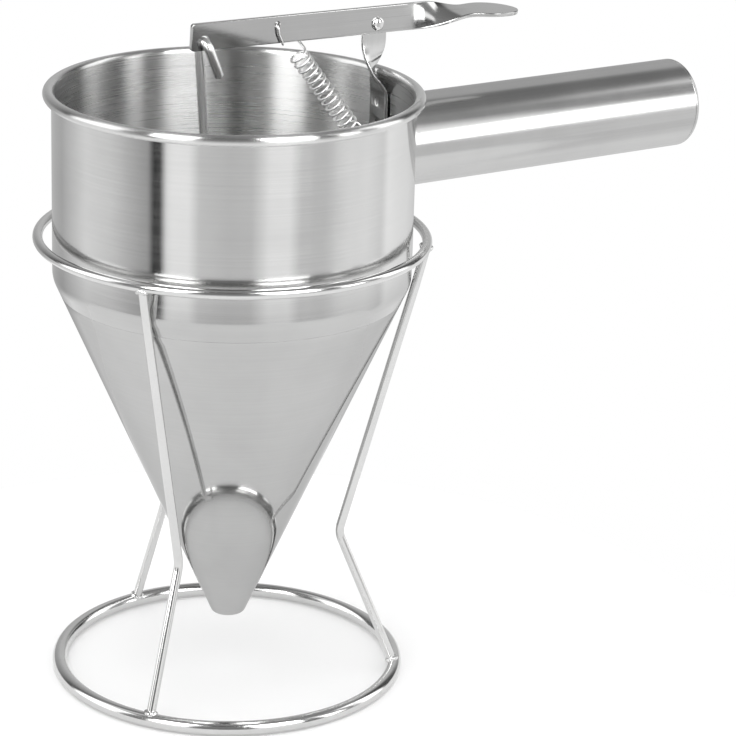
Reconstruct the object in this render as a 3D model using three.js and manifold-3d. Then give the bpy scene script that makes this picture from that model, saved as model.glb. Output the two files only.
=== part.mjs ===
// Dispensing funnel in its wire stand: a bowl with a rolled rim and a conical outlet, a tube handle,
// and a thumb lever that lifts a stopper on a hooked rod and is pulled back by a coil spring.
// Millimetres, +Z up. The handle and the lever point along +X, and the stand rests on z = 0.
import * as THREE from 'three';
import { mergeVertices } from 'three/addons/utils/BufferGeometryUtils.js';
import Module from 'manifold-3d';

const wasm = await Module();
wasm.setup();

// Fits shared by all pieces
const clearance = 0.3; // between pieces that seat on, pass through or turn against each other
const cutOverrun = 1; // how far a cutting solid runs past what it cuts

// Bowl and cone, one sheet thickness throughout
const bowlRadius = 65; // outside of the straight wall
const sheet = 1;
const wallHeight = 66.9; // from the corner above the cone to the middle of the rolled rim
const rimRollRadius = 2.05;
const shoulderRadius = 10; // rounding between the wall and the cone
const skirtLength = 4; // conical band below the shoulder, drawn with the wall
const outletRadius = 6; // outside of the cone, carried down to the outlet plane
const outletLipRadius = 1.8; // the cone's end turns in with this rounding
const outletBore = 4.1; // radius of the hole
const outletHeight = 21.2; // above the table, with the funnel in its stand
const coneHeight = 132.8; // from the outlet to the corner below the wall

// Handle
const handleRadius = 17;
const handleWall = 1.2;
const handleDrop = 25.8; // axis below the middle of the rolled rim
const handleReach = 201.1; // bowl axis to the far face of the end cap
const capFlange = 1.8;
const capEdgeRadius = 1.3;
const capDish = 0.8; // how deep the middle of the cap is pressed in
const capSpigot = 7;
const capWall = 1.2;

// Lever: one flat strip, twisted into a thumb pad
const leverRise = 20.95; // middle of the strip above the middle of the rolled rim, at the pivot
const leverTilt = THREE.MathUtils.degToRad(0.8); // at rest its thumb end hangs a little low
const leverHeight = 10;
const leverThickness = 1.5;
const leverTail = 18.4; // strip end beyond the bowl axis
const leverEndRounding = 1.2;
const twistStart = 70.2; // from the bowl axis
const twistLength = 31.2;
const twistAngle = THREE.MathUtils.degToRad(84); // its upper edge turns away from the front
const padLength = 21; // past the end of the twist
const padWidth = 14.1;
const padDroop = 1.6; // how far the tip hangs below the strip's middle
const padOverlap = 6; // the pad begins to widen this far before the twist ends

// Pivot and its twisted bracket
const pivotBelowMiddle = 1.5;
const rivetShank = 1.5;
const rivetHeadRadius = 2.5;
const rivetHeadHeight = 1.3;
const bracketWidth = 10.4;
const bracketThickness = 1.2;
const bracketLean = 3; // the pivot stands this far inside the plate on the wall
const bracketTwistTop = 5.4; // below the pivot
const bracketTwistLength = 22;
const bracketPlate = 19; // straight plate on the wall, below the twist
const lugBend = 1.8;
const lugLength = 6;
const lugHole = 1.3; // radius
const lugHoleInset = 3; // hole centre from the lug's free end
const weldDimple = 2; // radius of a spot weld mark
const weldDimpleDepth = 0.35;
const weldShares = [0.12, 0.56]; // places of the two marks down the plate

// Rod and stopper
const rodRadius = 1.75;
const rodPlay = 0.45; // between the hooked rod and the faces of the lever
const hookHoleReach = 13.3; // hole beyond the bowl axis
const hookHoleBelowMiddle = 1.9;
const hookHole = 2.3; // radius
const hookTail = 10.6; // straight end in front of the lever
const hookTailAngle = THREE.MathUtils.degToRad(22);
const rodFoot = 7; // upright end that stands in the stopper
const stopperRadius = 7;
const stopperBody = 5; // straight part above the seat
const stopperNeck = 3; // radius of the flat top
const stopperSocket = 4;

// Return spring
const springWire = 0.45; // radius
const springRadius = 3.3; // axis of the coil to the middle of the wire
const springTurns = 14;
const springHole = 1.1; // radius of its hole in the lever
const springHoleReach = 16.7; // from the bowl axis
const springHoleAboveMiddle = 1.9;
const springHook = 14.5; // upper hole to the first turn
const hookReach = 11; // the upper hook runs this far along the back of the lever,
const hookFall = 7.7; // and this far down, to just below the lever's lower edge
const springBody = 38.9; // length of the coil
const hookDrop = 7.6; // the open end of the upper hook hangs this far down the front of the lever
const hookSideStep = 1.8;

// Stand
const ringWire = 1.8; // radius
const ringRise = 14.3; // top ring above the corner between the wall and the cone
const ringPlay = 3.4; // from the bowl wall to the top ring
const baseWire = 2.6; // radius
const baseInset = 1.8; // middle of the base ring's wire, in from the outside of the bowl
const legWire = 1.65; // radius
const kneeInset = 24; // knee of a leg, in from the outside of the bowl
const kneeHeight = 55.2;
const kneeBend = 9;
const legAzimuths = [-147, -37, 94].map(THREE.MathUtils.degToRad);
const legNames = ['stand_leg_front', 'stand_leg_right', 'stand_leg_back'];

// Facet counts
const aroundBowl = 56;
const aroundTube = 40;
const aroundSmall = 20;
const ringSides = 10;
const wireSides = 10;
const springSides = 5;
const springSteps = 8;
const rollSteps = 9; // round the outside of the rolled rim
const rollInnerSteps = 6;
const bendSteps = 5; // in a bend of wire, sheet or strip
const edgeSteps = 3; // in a small rounding

// Heights and places that follow from the sizes above
const fullTurn = 2 * Math.PI;
const quarterTurn = Math.PI / 2;
const coneAngle = Math.atan((bowlRadius - outletRadius) / coneHeight);
const cornerHeight = outletHeight + coneHeight;
const rimHeight = cornerHeight + wallHeight;
const boreRadius = bowlRadius - sheet;
const shoulderCentre = new THREE.Vector2(
  bowlRadius - shoulderRadius,
  cornerHeight + shoulderRadius * Math.tan(coneAngle / 2),
);
const handleHeight = rimHeight - handleDrop;
const leverMiddle = rimHeight + leverRise;
const bracketSide = leverThickness / 2 + clearance + bracketThickness / 2;
const plateEdge = bracketSide + bracketWidth / 2;
const plateMiddle = boreRadius - sagitta(boreRadius, plateEdge) - clearance - bracketThickness / 2;
const pivot = new THREE.Vector3(plateMiddle - bracketLean, 0, leverMiddle - pivotBelowMiddle);
const hookPoint = onLever(-hookHoleReach, -hookHoleBelowMiddle);
const topRingRadius = bowlRadius + ringPlay + ringWire;
const ringHeight = cornerHeight + ringRise;
const baseRadius = bowlRadius - baseInset;
const kneeRadius = bowlRadius - kneeInset;
const baseHeight = baseWire * Math.cos(Math.PI / ringSides);

// Point of the lever at rest, given by its reach from the bowl axis and its height above the strip's middle
function onLever(reach, above) {
  const level = new THREE.Vector3(reach, 0, leverMiddle + above);
  return level.sub(pivot).applyAxisAngle(new THREE.Vector3(0, 1, 0), leverTilt).add(pivot);
}

// Height of an arc of the given radius over half its chord
function sagitta(radius, halfChord) {
  return radius - Math.sqrt(radius * radius - halfChord * halfChord);
}

// Points of an arc in a plane, from one angle to another
function arc(centre, radius, from, to, steps) {
  const points = [];
  for (let i = 0; i <= steps; i += 1) {
    const angle = from + ((to - from) * i) / steps;
    points.push(new THREE.Vector2(centre.x + radius * Math.cos(angle), centre.y + radius * Math.sin(angle)));
  }
  return points;
}

// Plain closed geometry: position only, shared vertices, no empty triangles, faces pointing out
function closed(geometry) {
  const bare = geometry.clone();
  bare.deleteAttribute('normal');
  bare.deleteAttribute('uv');
  const merged = mergeVertices(bare);
  const source = merged.index.array;
  const position = merged.attributes.position;
  const corners = [new THREE.Vector3(), new THREE.Vector3(), new THREE.Vector3()];
  const faces = [];
  let volume = 0;
  for (let i = 0; i < source.length; i += 3) {
    const [a, b, c] = [source[i], source[i + 1], source[i + 2]];
    if (a !== b && b !== c && c !== a) {
      [a, b, c].forEach((vertex, k) => corners[k].fromBufferAttribute(position, vertex));
      volume += corners[0].dot(corners[1].cross(corners[2]));
      faces.push(a, b, c);
    }
  }
  merged.setIndex(volume < 0 ? faces.reverse() : faces);
  return merged;
}

function toSolid(geometry) {
  const shape = closed(geometry);
  return new wasm.Manifold(new wasm.Mesh({
    numProp: 3,
    vertProperties: Float32Array.from(shape.attributes.position.array),
    triVerts: Uint32Array.from(shape.index.array),
  }));
}

function toGeometry(solid) {
  const mesh = solid.getMesh();
  const geometry = new THREE.BufferGeometry();
  const count = mesh.vertProperties.length / mesh.numProp;
  const position = new Float32Array(count * 3);
  for (let i = 0; i < count; i += 1) {
    for (let k = 0; k < 3; k += 1) position[i * 3 + k] = mesh.vertProperties[i * mesh.numProp + k];
  }
  geometry.setAttribute('position', new THREE.BufferAttribute(position, 3));
  geometry.setIndex(new THREE.BufferAttribute(Uint32Array.from(mesh.triVerts), 1));
  return geometry;
}

// A geometry with the given cutters taken away
function cut(geometry, ...cutters) {
  const solid = cutters.reduce((body, cutter) => body.subtract(toSolid(cutter)), toSolid(geometry));
  return toGeometry(solid);
}

function piece(name, geometry, material) {
  const mesh = new THREE.Mesh(closed(geometry), material);
  mesh.name = name;
  mesh.geometry.computeVertexNormals();
  return mesh;
}

// Revolves a profile of radius and height about the vertical axis
function revolve(profile, segments) {
  return new THREE.LatheGeometry(profile, segments).rotateX(quarterTurn);
}

// A bar of round wire closed into a level ring, with one flat side below
function wireRing(radius, height, wire, segments) {
  const start = Math.PI / ringSides - quarterTurn;
  const profile = arc(new THREE.Vector2(radius, height), wire, start, start + fullTurn, ringSides);
  profile[ringSides].copy(profile[0]);
  return revolve(profile, segments);
}

// A curve that is stepped exactly at its own points, so that bends keep their stations
class Stations extends THREE.Curve {
  constructor(points) {
    super();
    this.points = points;
  }

  getPoint(t) {
    const last = this.points.length - 1;
    const index = Math.min(Math.floor(t * last), last - 1);
    return this.points[index].clone().lerp(this.points[index + 1], t * last - index);
  }

  getPointAt(u) {
    return this.getPoint(u);
  }

  getSpacedPoints(divisions) {
    return this.getPoints(divisions);
  }

  getTangentAt(u) {
    const last = this.points.length - 1;
    const index = Math.round(u * last);
    const before = this.points[Math.max(index - 1, 0)];
    const here = this.points[index];
    const after = this.points[Math.min(index + 1, last)];
    const tangent = new THREE.Vector3();
    if (index > 0) tangent.add(here.clone().sub(before).normalize());
    if (index < last) tangent.add(after.clone().sub(here).normalize());
    return tangent.normalize();
  }
}

// Round wire along a list of points
function wire(points, radius, sides) {
  const section = new THREE.Shape(arc(new THREE.Vector2(), radius, 0, fullTurn, sides).slice(0, sides));
  return new THREE.ExtrudeGeometry(section, {
    steps: points.length - 1,
    bevelEnabled: false,
    extrudePath: new Stations(points),
  });
}

// Points of a bent wire through the given corners: each inner corner is rounded by its bend radius
function bent(corners, bends, steps) {
  const points = [corners[0].clone()];
  for (let i = 1; i < corners.length - 1; i += 1) {
    const incoming = corners[i].clone().sub(corners[i - 1]).normalize();
    const outgoing = corners[i + 1].clone().sub(corners[i]).normalize();
    const turn = incoming.angleTo(outgoing);
    const reach = bends[i - 1] * Math.tan(turn / 2);
    const start = corners[i].clone().addScaledVector(incoming, -reach);
    const side = outgoing.clone().addScaledVector(incoming, -outgoing.dot(incoming)).normalize();
    for (let k = 0; k <= steps; k += 1) {
      const angle = (turn * k) / steps;
      points.push(start.clone()
        .addScaledVector(incoming, bends[i - 1] * Math.sin(angle))
        .addScaledVector(side, bends[i - 1] * (1 - Math.cos(angle))));
    }
  }
  points.push(corners[corners.length - 1].clone());
  return points;
}

// Flat strip through stations, each with a centre, a direction across the strip and a half width
function strip(stations, thickness) {
  const positions = [];
  const index = [];
  stations.forEach((station, i) => {
    const before = stations[Math.max(i - 1, 0)].centre;
    const after = stations[Math.min(i + 1, stations.length - 1)].centre;
    const along = after.clone().sub(before).normalize();
    const across = station.across.clone().addScaledVector(along, -along.dot(station.across)).normalize();
    const normal = along.clone().cross(across);
    [[1, 1], [-1, 1], [-1, -1], [1, -1]].forEach(([wide, thick]) => {
      const corner = station.centre.clone()
        .addScaledVector(across, wide * station.half)
        .addScaledVector(normal, (thick * thickness) / 2);
      positions.push(corner.x, corner.y, corner.z);
    });
    if (i > 0) {
      const base = (i - 1) * 4;
      for (let k = 0; k < 4; k += 1) {
        const next = (k + 1) % 4;
        index.push(base + k, base + next, base + 4 + next, base + k, base + 4 + next, base + 4 + k);
      }
    }
  });
  const end = (stations.length - 1) * 4;
  index.push(0, 2, 1, 0, 3, 2, end, end + 1, end + 2, end, end + 2, end + 3);
  const geometry = new THREE.BufferGeometry();
  geometry.setAttribute('position', new THREE.Float32BufferAttribute(positions, 3));
  geometry.setIndex(index);
  return geometry;
}

// A round drill of the given length along Y, centred on a point
function drillAcross(centre, radius, length) {
  const drill = new THREE.CylinderGeometry(radius, radius, length, aroundSmall);
  return drill.translate(centre.x, centre.y, centre.z);
}

function smooth(share) {
  return THREE.MathUtils.smoothstep(share, 0, 1);
}

function steel(colour, roughness) {
  return new THREE.MeshStandardMaterial({ color: colour, roughness, metalness: 1 });
}

// Point on the outside of the cone, a given height above the outlet, moved in by a depth along its normal
function onCone(rise, depth) {
  return new THREE.Vector2(
    outletRadius + rise * Math.tan(coneAngle) - depth * Math.cos(coneAngle),
    outletHeight + rise + depth * Math.sin(coneAngle),
  );
}

// Rise above the outlet at which the shoulder rounding ends and at which the skirt ends
const shoulderRise = coneHeight - shoulderRadius * Math.tan(coneAngle / 2) * Math.cos(coneAngle);
const skirtRise = shoulderRise - skirtLength * Math.cos(coneAngle);

// Straight wall with its open rolled rim, rounded shoulder and short conical skirt
function bowlWall() {
  const rimRollEnd = -quarterTurn;
  const roll = new THREE.Vector2(boreRadius + rimRollRadius, rimHeight);
  const profile = [
    onCone(skirtRise, sheet),
    ...arc(shoulderCentre, shoulderRadius - sheet, -coneAngle, 0, edgeSteps),
    ...arc(roll, rimRollRadius, Math.PI, rimRollEnd, rollSteps),
    ...arc(roll, rimRollRadius - sheet, rimRollEnd, Math.PI, rollInnerSteps),
    ...arc(shoulderCentre, shoulderRadius, 0, -coneAngle, edgeSteps),
    onCone(skirtRise, 0),
  ];
  profile.push(profile[0].clone());
  return piece('bowl_wall', revolve(profile, aroundBowl), steel(0xc9c9c8, 0.22));
}

// Cone with its end turned in to the outlet
function funnelCone() {
  const topRise = skirtRise - clearance;
  const lip = new THREE.Vector2(
    outletRadius + outletLipRadius * (Math.tan(coneAngle) - 1 / Math.cos(coneAngle)),
    outletHeight + outletLipRadius,
  );
  const profile = [
    onCone(topRise, 0),
    ...arc(lip, outletLipRadius, -coneAngle, -quarterTurn, bendSteps),
    new THREE.Vector2(outletBore, outletHeight),
    new THREE.Vector2(outletBore, outletHeight + sheet),
    ...arc(lip, outletLipRadius - sheet, -quarterTurn, -coneAngle, edgeSteps),
    onCone(topRise, sheet),
  ];
  profile.push(profile[0].clone());
  return piece('funnel_cone', revolve(profile, aroundBowl), steel(0xbfbfbf, 0.3));
}

// Tube along +X whose root is cut to the curve of the bowl
function handleTube() {
  const start = Math.sqrt(bowlRadius * bowlRadius - handleRadius * handleRadius) - cutOverrun;
  const end = handleReach - capFlange - clearance;
  const ring = new THREE.Shape();
  ring.absarc(0, 0, handleRadius, 0, fullTurn);
  const bore = new THREE.Path();
  bore.absarc(0, 0, handleRadius - handleWall, 0, fullTurn, true);
  ring.holes.push(bore);
  const tube = new THREE.ExtrudeGeometry(ring, {
    depth: end - start,
    bevelEnabled: false,
    curveSegments: aroundTube,
  });
  tube.rotateY(quarterTurn).translate(start, 0, handleHeight);
  const bowl = new THREE.CylinderGeometry(
    bowlRadius + clearance,
    bowlRadius + clearance,
    2 * (handleRadius + cutOverrun),
    2 * aroundBowl,
  );
  bowl.rotateX(quarterTurn).translate(0, 0, handleHeight);
  return piece('handle_tube', cut(tube, bowl), steel(0xc4c4c3, 0.24));
}

// Pressed cap: a rounded flange over the tube's end and a thin spigot inside it
function handleEndCap() {
  const bore = handleRadius - handleWall - clearance;
  const edge = new THREE.Vector2(handleRadius - capEdgeRadius, capFlange - capEdgeRadius);
  const dish = new THREE.Vector2(bore - capWall, capFlange - capDish);
  const profile = [
    new THREE.Vector2(0, dish.y),
    dish,
    ...arc(edge, capEdgeRadius, quarterTurn, 0, bendSteps),
    new THREE.Vector2(handleRadius, 0),
    new THREE.Vector2(bore, 0),
    new THREE.Vector2(bore, -capSpigot),
    new THREE.Vector2(bore - capWall, -capSpigot),
    new THREE.Vector2(bore - capWall, dish.y - capWall),
    new THREE.Vector2(0, dish.y - capWall),
  ];
  const cap = revolve(profile, aroundTube);
  cap.rotateY(quarterTurn).translate(handleReach - capFlange, 0, handleHeight);
  return piece('handle_end_cap', cap, steel(0xc4c4c3, 0.26));
}

// Strip that is riveted to the lever at its top, turns a quarter on its way down and is welded
// to the inside of the wall; its foot is bent in as a lug for the spring
function pivotBracket() {
  const across = (angle) => new THREE.Vector3(Math.cos(angle), Math.sin(angle), 0);
  const stations = [];
  const topSteps = 6;
  const crownShare = 0.9;
  for (let i = 0; i <= topSteps; i += 1) {
    const angle = crownShare * quarterTurn * (1 - i / topSteps);
    stations.push({
      centre: new THREE.Vector3(pivot.x, bracketSide, pivot.z + (bracketWidth / 2) * Math.sin(angle)),
      across: across(0),
      half: (bracketWidth / 2) * Math.cos(angle),
    });
  }
  const twistSteps = 18;
  const leanDelayShare = 0.5;
  for (let i = 0; i <= twistSteps; i += 1) {
    const share = i / twistSteps;
    stations.push({
      centre: new THREE.Vector3(
        pivot.x + bracketLean * smooth((share - leanDelayShare) / (1 - leanDelayShare)),
        bracketSide,
        pivot.z - bracketTwistTop - bracketTwistLength * share,
      ),
      across: across(quarterTurn * smooth(share)),
      half: bracketWidth / 2,
    });
  }
  const bendTop = stations[stations.length - 1].centre.z - bracketPlate;
  for (let i = 0; i <= bendSteps; i += 1) {
    const angle = (quarterTurn * i) / bendSteps;
    stations.push({
      centre: new THREE.Vector3(
        plateMiddle - lugBend * (1 - Math.cos(angle)),
        bracketSide,
        bendTop - lugBend * Math.sin(angle),
      ),
      across: across(quarterTurn),
      half: bracketWidth / 2,
    });
  }
  const lugEnd = plateMiddle - lugBend - lugLength;
  stations.push({
    centre: new THREE.Vector3(lugEnd, bracketSide, bendTop - lugBend),
    across: across(quarterTurn),
    half: bracketWidth / 2,
  });
  const rivetHole = drillAcross(
    new THREE.Vector3(pivot.x, bracketSide, pivot.z),
    rivetShank + clearance,
    bracketThickness + 2 * cutOverrun,
  );
  const lugDrill = drillAcross(new THREE.Vector3(), lugHole, bracketThickness + 2 * cutOverrun);
  lugDrill.rotateX(quarterTurn).translate(springFoot.x, springFoot.y, springFoot.z);
  const dimples = weldShares.map((share) => weldMark(bendTop + bracketPlate * (1 - share)));
  return piece(
    'pivot_bracket',
    cut(strip(stations, bracketThickness), rivetHole, lugDrill, ...dimples),
    steel(0xcfcfce, 0.18),
  );
}

// Shallow round mark that a spot weld leaves on the face of the plate
function weldMark(height) {
  const ball = (weldDimple * weldDimple + weldDimpleDepth * weldDimpleDepth) / (2 * weldDimpleDepth);
  const face = plateMiddle - bracketThickness / 2;
  return new THREE.SphereGeometry(ball, 2 * aroundSmall, aroundSmall)
    .translate(face + weldDimpleDepth - ball, bracketSide, height);
}

// Rivet through the bracket and the lever, with a domed head on each side
function pivotRivet() {
  const dome = (height, side) => {
    const points = [];
    for (let i = 0; i <= bendSteps; i += 1) {
      const angle = (quarterTurn * i) / bendSteps;
      points.push(new THREE.Vector2(
        rivetHeadRadius * Math.sin(angle),
        height + side * rivetHeadHeight * Math.cos(angle),
      ));
    }
    return points;
  };
  const front = -leverThickness / 2 - clearance;
  const back = bracketSide + bracketThickness / 2 + clearance;
  const profile = [
    ...dome(front, -1),
    new THREE.Vector2(rivetShank, front),
    new THREE.Vector2(rivetShank, back),
    ...dome(back, 1).reverse(),
  ];
  const rivet = new THREE.LatheGeometry(profile, aroundSmall).translate(pivot.x, 0, pivot.z);
  return piece('pivot_rivet', rivet, steel(0xd4d4d3, 0.12));
}

// Strip on edge over the bowl, twisted almost level into a leaf-shaped thumb pad
function lever() {
  const across = (angle) => new THREE.Vector3(0, Math.sin(angle), Math.cos(angle));
  const padStart = twistStart + twistLength - padOverlap;
  const padEnd = twistStart + twistLength + padLength;
  const place = (reach) => {
    const twist = smooth((reach - twistStart) / twistLength);
    const share = THREE.MathUtils.clamp((reach - padStart) / (padEnd - padStart), 0, 1);
    const leafShare = 0.999;
    const leaf = Math.sqrt(1 - Math.pow(leafShare * (2 * share - 1), 2));
    const onPad = Math.min(1, 2 * share);
    const half = share < 1 / 2
      ? THREE.MathUtils.lerp(leverHeight / 2, padWidth / 2, smooth(onPad))
      : (padWidth / 2) * leaf;
    return {
      centre: new THREE.Vector3(reach, 0, leverMiddle - padDroop * share * share),
      across: across(twistAngle * twist),
      half,
    };
  };
  const reaches = [twistStart];
  const twistSteps = 16;
  for (let i = 1; i <= twistSteps; i += 1) reaches.push(twistStart + (twistLength * i) / twistSteps);
  const padSteps = 12;
  const padBase = twistStart + twistLength;
  for (let i = 1; i <= padSteps; i += 1) {
    reaches.push(padBase + padLength * Math.sin((quarterTurn * i) / padSteps));
  }
  const stations = reaches.map(place);
  const roundedEnd = [];
  for (let i = 0; i <= edgeSteps; i += 1) {
    const angle = (quarterTurn * i) / edgeSteps;
    roundedEnd.push({
      centre: new THREE.Vector3(leverEndRounding * (1 - Math.cos(angle)) - leverTail, 0, leverMiddle),
      across: across(0),
      half: leverHeight / 2 - leverEndRounding * (1 - Math.sin(angle)),
    });
  }
  const blank = strip([...roundedEnd, ...stations], leverThickness);
  blank.translate(-pivot.x, 0, -pivot.z).rotateY(leverTilt).translate(pivot.x, 0, pivot.z);
  const drill = leverThickness + 2 * cutOverrun;
  return piece(
    'lever',
    cut(
      blank,
      drillAcross(new THREE.Vector3(pivot.x, 0, pivot.z), rivetShank + clearance, drill),
      drillAcross(hookPoint, hookHole, drill),
      drillAcross(springHead, springHole, drill),
    ),
    steel(0xbdbdbc, 0.28),
  );
}

// Rod that stands in the stopper, leans up behind the lever and hooks through it to the front
function liftRod() {
  const off = leverThickness / 2 + rodPlay + rodRadius;
  const tail = new THREE.Vector3(Math.sin(hookTailAngle), 0, -Math.cos(hookTailAngle));
  const corners = [
    new THREE.Vector3(0, 0, socketFloor + clearance),
    new THREE.Vector3(0, 0, socketFloor + rodFoot),
    new THREE.Vector3(hookPoint.x, off, hookPoint.z),
    new THREE.Vector3(hookPoint.x, -off, hookPoint.z),
    new THREE.Vector3(hookPoint.x, -off, hookPoint.z).addScaledVector(tail, off + hookTail),
  ];
  const points = bent(corners, [rodFoot, off, off], bendSteps);
  return piece('lift_rod', wire(points, rodRadius, wireSides), steel(0xd0d0cf, 0.14));
}

// Turned stopper: its seat has the slope of the cone, and the rod stands in a socket in its top
function stopper() {
  const domeStart = quarterTurn / 4;
  const profile = [
    new THREE.Vector2(0, stopperFoot.y),
    stopperFoot,
    stopperSeat,
    new THREE.Vector2(stopperRadius, stopperSeat.y + stopperBody),
    ...arc(
      new THREE.Vector2(stopperNeck, stopperSeat.y + stopperBody),
      stopperRadius - stopperNeck,
      domeStart,
      quarterTurn,
      edgeSteps,
    ),
    new THREE.Vector2(rodRadius + clearance, stopperTop),
    new THREE.Vector2(rodRadius + clearance, socketFloor),
    new THREE.Vector2(0, socketFloor),
  ];
  return piece('stopper', revolve(profile, aroundSmall + wireSides), steel(0xbcbcbb, 0.3));
}

// The spring's wire: a hook through the lever, the coil, and a hook through the bracket's lug
function springPoints() {
  const off = leverThickness / 2 + rodPlay + springWire;
  const axis = springAxis;
  const sideways = new THREE.Vector3(0, 1, 0);
  const upward = axis.clone().cross(sideways);
  const coilStart = springHead.clone().addScaledVector(axis, springHook);
  const onCoil = (turns) => coilStart.clone()
    .addScaledVector(axis, (springBody * turns) / springTurns)
    .addScaledVector(sideways, -springRadius * Math.sin(fullTurn * turns))
    .addScaledVector(upward, springRadius * Math.cos(fullTurn * turns));
  const upper = bent(
    [
      springHead.clone().add(new THREE.Vector3(hookSideStep, -off, -hookDrop)),
      springHead.clone().add(new THREE.Vector3(0, -off, 0)),
      springHead.clone().add(new THREE.Vector3(0, off, 0)),
      springHead.clone().add(new THREE.Vector3(hookReach, off, -hookFall)),
      onCoil(0),
    ],
    [off, off, off],
    bendSteps,
  );
  const coil = [];
  for (let i = 1; i <= springTurns * springSteps; i += 1) coil.push(onCoil(i / springSteps));
  const under = bracketThickness / 2 + clearance + springWire;
  const loop = lugHoleInset + under;
  const lower = bent(
    [
      onCoil(springTurns).addScaledVector(axis, springRadius),
      springFoot.clone().add(new THREE.Vector3(0, 0, 2 * under)),
      springFoot.clone().add(new THREE.Vector3(0, 0, -under)),
      springFoot.clone().add(new THREE.Vector3(-loop, 0, -under)),
      springFoot.clone().add(new THREE.Vector3(-loop, 0, under)),
    ],
    [under, under, under],
    bendSteps,
  );
  return [...upper, ...coil, ...lower];
}

// Least clear distance between stretches of one wire that are not neighbours along it
function leastGap(points, radius) {
  const reach = [0];
  for (let i = 1; i < points.length; i += 1) reach.push(reach[i - 1] + points[i].distanceTo(points[i - 1]));
  let least = Infinity;
  for (let i = 0; i < points.length; i += 1) {
    for (let k = i + 1; k < points.length; k += 1) {
      const apart = points[i].distanceTo(points[k]);
      if (reach[k] - reach[i] > quarterTurn * apart + 2 * radius) least = Math.min(least, apart);
    }
  }
  return least - 2 * radius;
}

function returnSpring() {
  const points = springPoints();
  console.log(`return_spring: least gap to itself ${leastGap(points, springWire).toFixed(2)} mm`);
  return piece('return_spring', wire(points, springWire, springSides), steel(0xdcdcdb, 0.12));
}

function topRing() {
  const ring = wireRing(topRingRadius, ringHeight, ringWire, aroundBowl);
  return piece('stand_top_ring', ring, steel(0xd6d6d6, 0.12));
}

function baseRing() {
  const ring = wireRing(baseRadius, baseHeight, baseWire, aroundBowl);
  return piece('stand_base_ring', ring, steel(0xd6d6d6, 0.12));
}

// Corners of a leg in its own upright plane: top ring, rest of the bowl's shoulder, knee, base ring
function legCorners() {
  const lean = Math.atan((topRingRadius - kneeRadius) / (ringHeight - kneeHeight));
  const restAngle = THREE.MathUtils.clamp(lean, 0, coneAngle);
  const stand = shoulderRadius + clearance + legWire;
  return [
    new THREE.Vector3(topRingRadius, 0, ringHeight),
    new THREE.Vector3(
      shoulderCentre.x + stand * Math.cos(restAngle),
      0,
      shoulderCentre.y - stand * Math.sin(restAngle),
    ),
    new THREE.Vector3(kneeRadius, 0, kneeHeight),
    new THREE.Vector3(baseRadius, 0, baseHeight),
  ];
}

// Bent wire leg whose ends are saddled to the two rings
function standLeg(name, azimuth) {
  const points = bent(legCorners(), [shoulderRadius, kneeBend], bendSteps);
  const leg = cut(
    wire(points, legWire, wireSides),
    wireRing(topRingRadius, ringHeight, ringWire + clearance, aroundBowl),
    wireRing(baseRadius, baseHeight, baseWire + clearance, aroundBowl),
  );
  return piece(name, leg.rotateZ(azimuth), steel(0xd6d6d6, 0.14));
}

// Places of the spring's two seats and the direction of its axis
const springHead = onLever(springHoleReach, springHoleAboveMiddle);
const springFoot = new THREE.Vector3(
  plateMiddle - lugBend - lugLength + lugHoleInset,
  bracketSide,
  pivot.z - bracketTwistTop - bracketTwistLength - bracketPlate - lugBend,
);
const springAxis = springFoot.clone().sub(springHead).setY(0).normalize();

// Heights of the stopper, whose seat stands off the inside of the cone by the clearance
const seatDepth = sheet + clearance;
const seatRise = (stopperRadius + seatDepth * Math.cos(coneAngle) - outletRadius) / Math.tan(coneAngle);
const stopperSeat = onCone(seatRise, seatDepth);
const stopperFoot = onCone(outletLipRadius, seatDepth);
const stopperTop = stopperSeat.y + stopperBody + stopperRadius - stopperNeck;
const socketFloor = stopperTop - stopperSocket;

const stand = new THREE.Group();
stand.add(topRing(), baseRing());
legNames.forEach((name, i) => stand.add(standLeg(name, legAzimuths[i])));

const funnel = new THREE.Group();
funnel.add(bowlWall(), funnelCone(), handleTube(), handleEndCap());
funnel.add(pivotBracket(), pivotRivet(), returnSpring());

const liftGear = new THREE.Group();
liftGear.add(lever(), liftRod(), stopper());

// The frame's origin is under the middle of the whole object's box
const group = new THREE.Group();
group.add(stand, funnel, liftGear);
group.position.x = (topRingRadius + ringWire - handleReach) / 2;

export default group;
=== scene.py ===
from math import atan, atan2, ceil, cos, degrees, dist, pi, radians, sin, sqrt, tan

import bpy
from mathutils import Matrix, Vector


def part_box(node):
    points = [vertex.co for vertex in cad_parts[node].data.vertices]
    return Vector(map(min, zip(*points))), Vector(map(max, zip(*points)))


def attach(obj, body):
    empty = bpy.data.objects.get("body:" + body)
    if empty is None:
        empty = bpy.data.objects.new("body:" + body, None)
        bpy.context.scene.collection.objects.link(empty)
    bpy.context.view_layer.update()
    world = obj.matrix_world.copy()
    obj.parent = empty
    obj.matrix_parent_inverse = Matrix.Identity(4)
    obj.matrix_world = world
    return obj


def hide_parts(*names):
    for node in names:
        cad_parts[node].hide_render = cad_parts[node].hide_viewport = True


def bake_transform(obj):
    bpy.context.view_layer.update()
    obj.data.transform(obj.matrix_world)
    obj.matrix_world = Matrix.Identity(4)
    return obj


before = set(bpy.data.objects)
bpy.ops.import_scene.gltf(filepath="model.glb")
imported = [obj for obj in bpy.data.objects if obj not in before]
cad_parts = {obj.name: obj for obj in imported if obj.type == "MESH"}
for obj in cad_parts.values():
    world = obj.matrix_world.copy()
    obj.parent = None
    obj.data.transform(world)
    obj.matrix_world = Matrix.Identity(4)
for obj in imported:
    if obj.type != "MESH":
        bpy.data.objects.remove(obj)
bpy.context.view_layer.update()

MM = 0.001
FULL_TURN = 2 * pi
QUARTER_TURN = pi / 2
base_low, base_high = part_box("stand_base_ring")
AXIS_X = (base_low.x + base_high.x) / 2  # upright axis of the bowl and the stand

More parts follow.
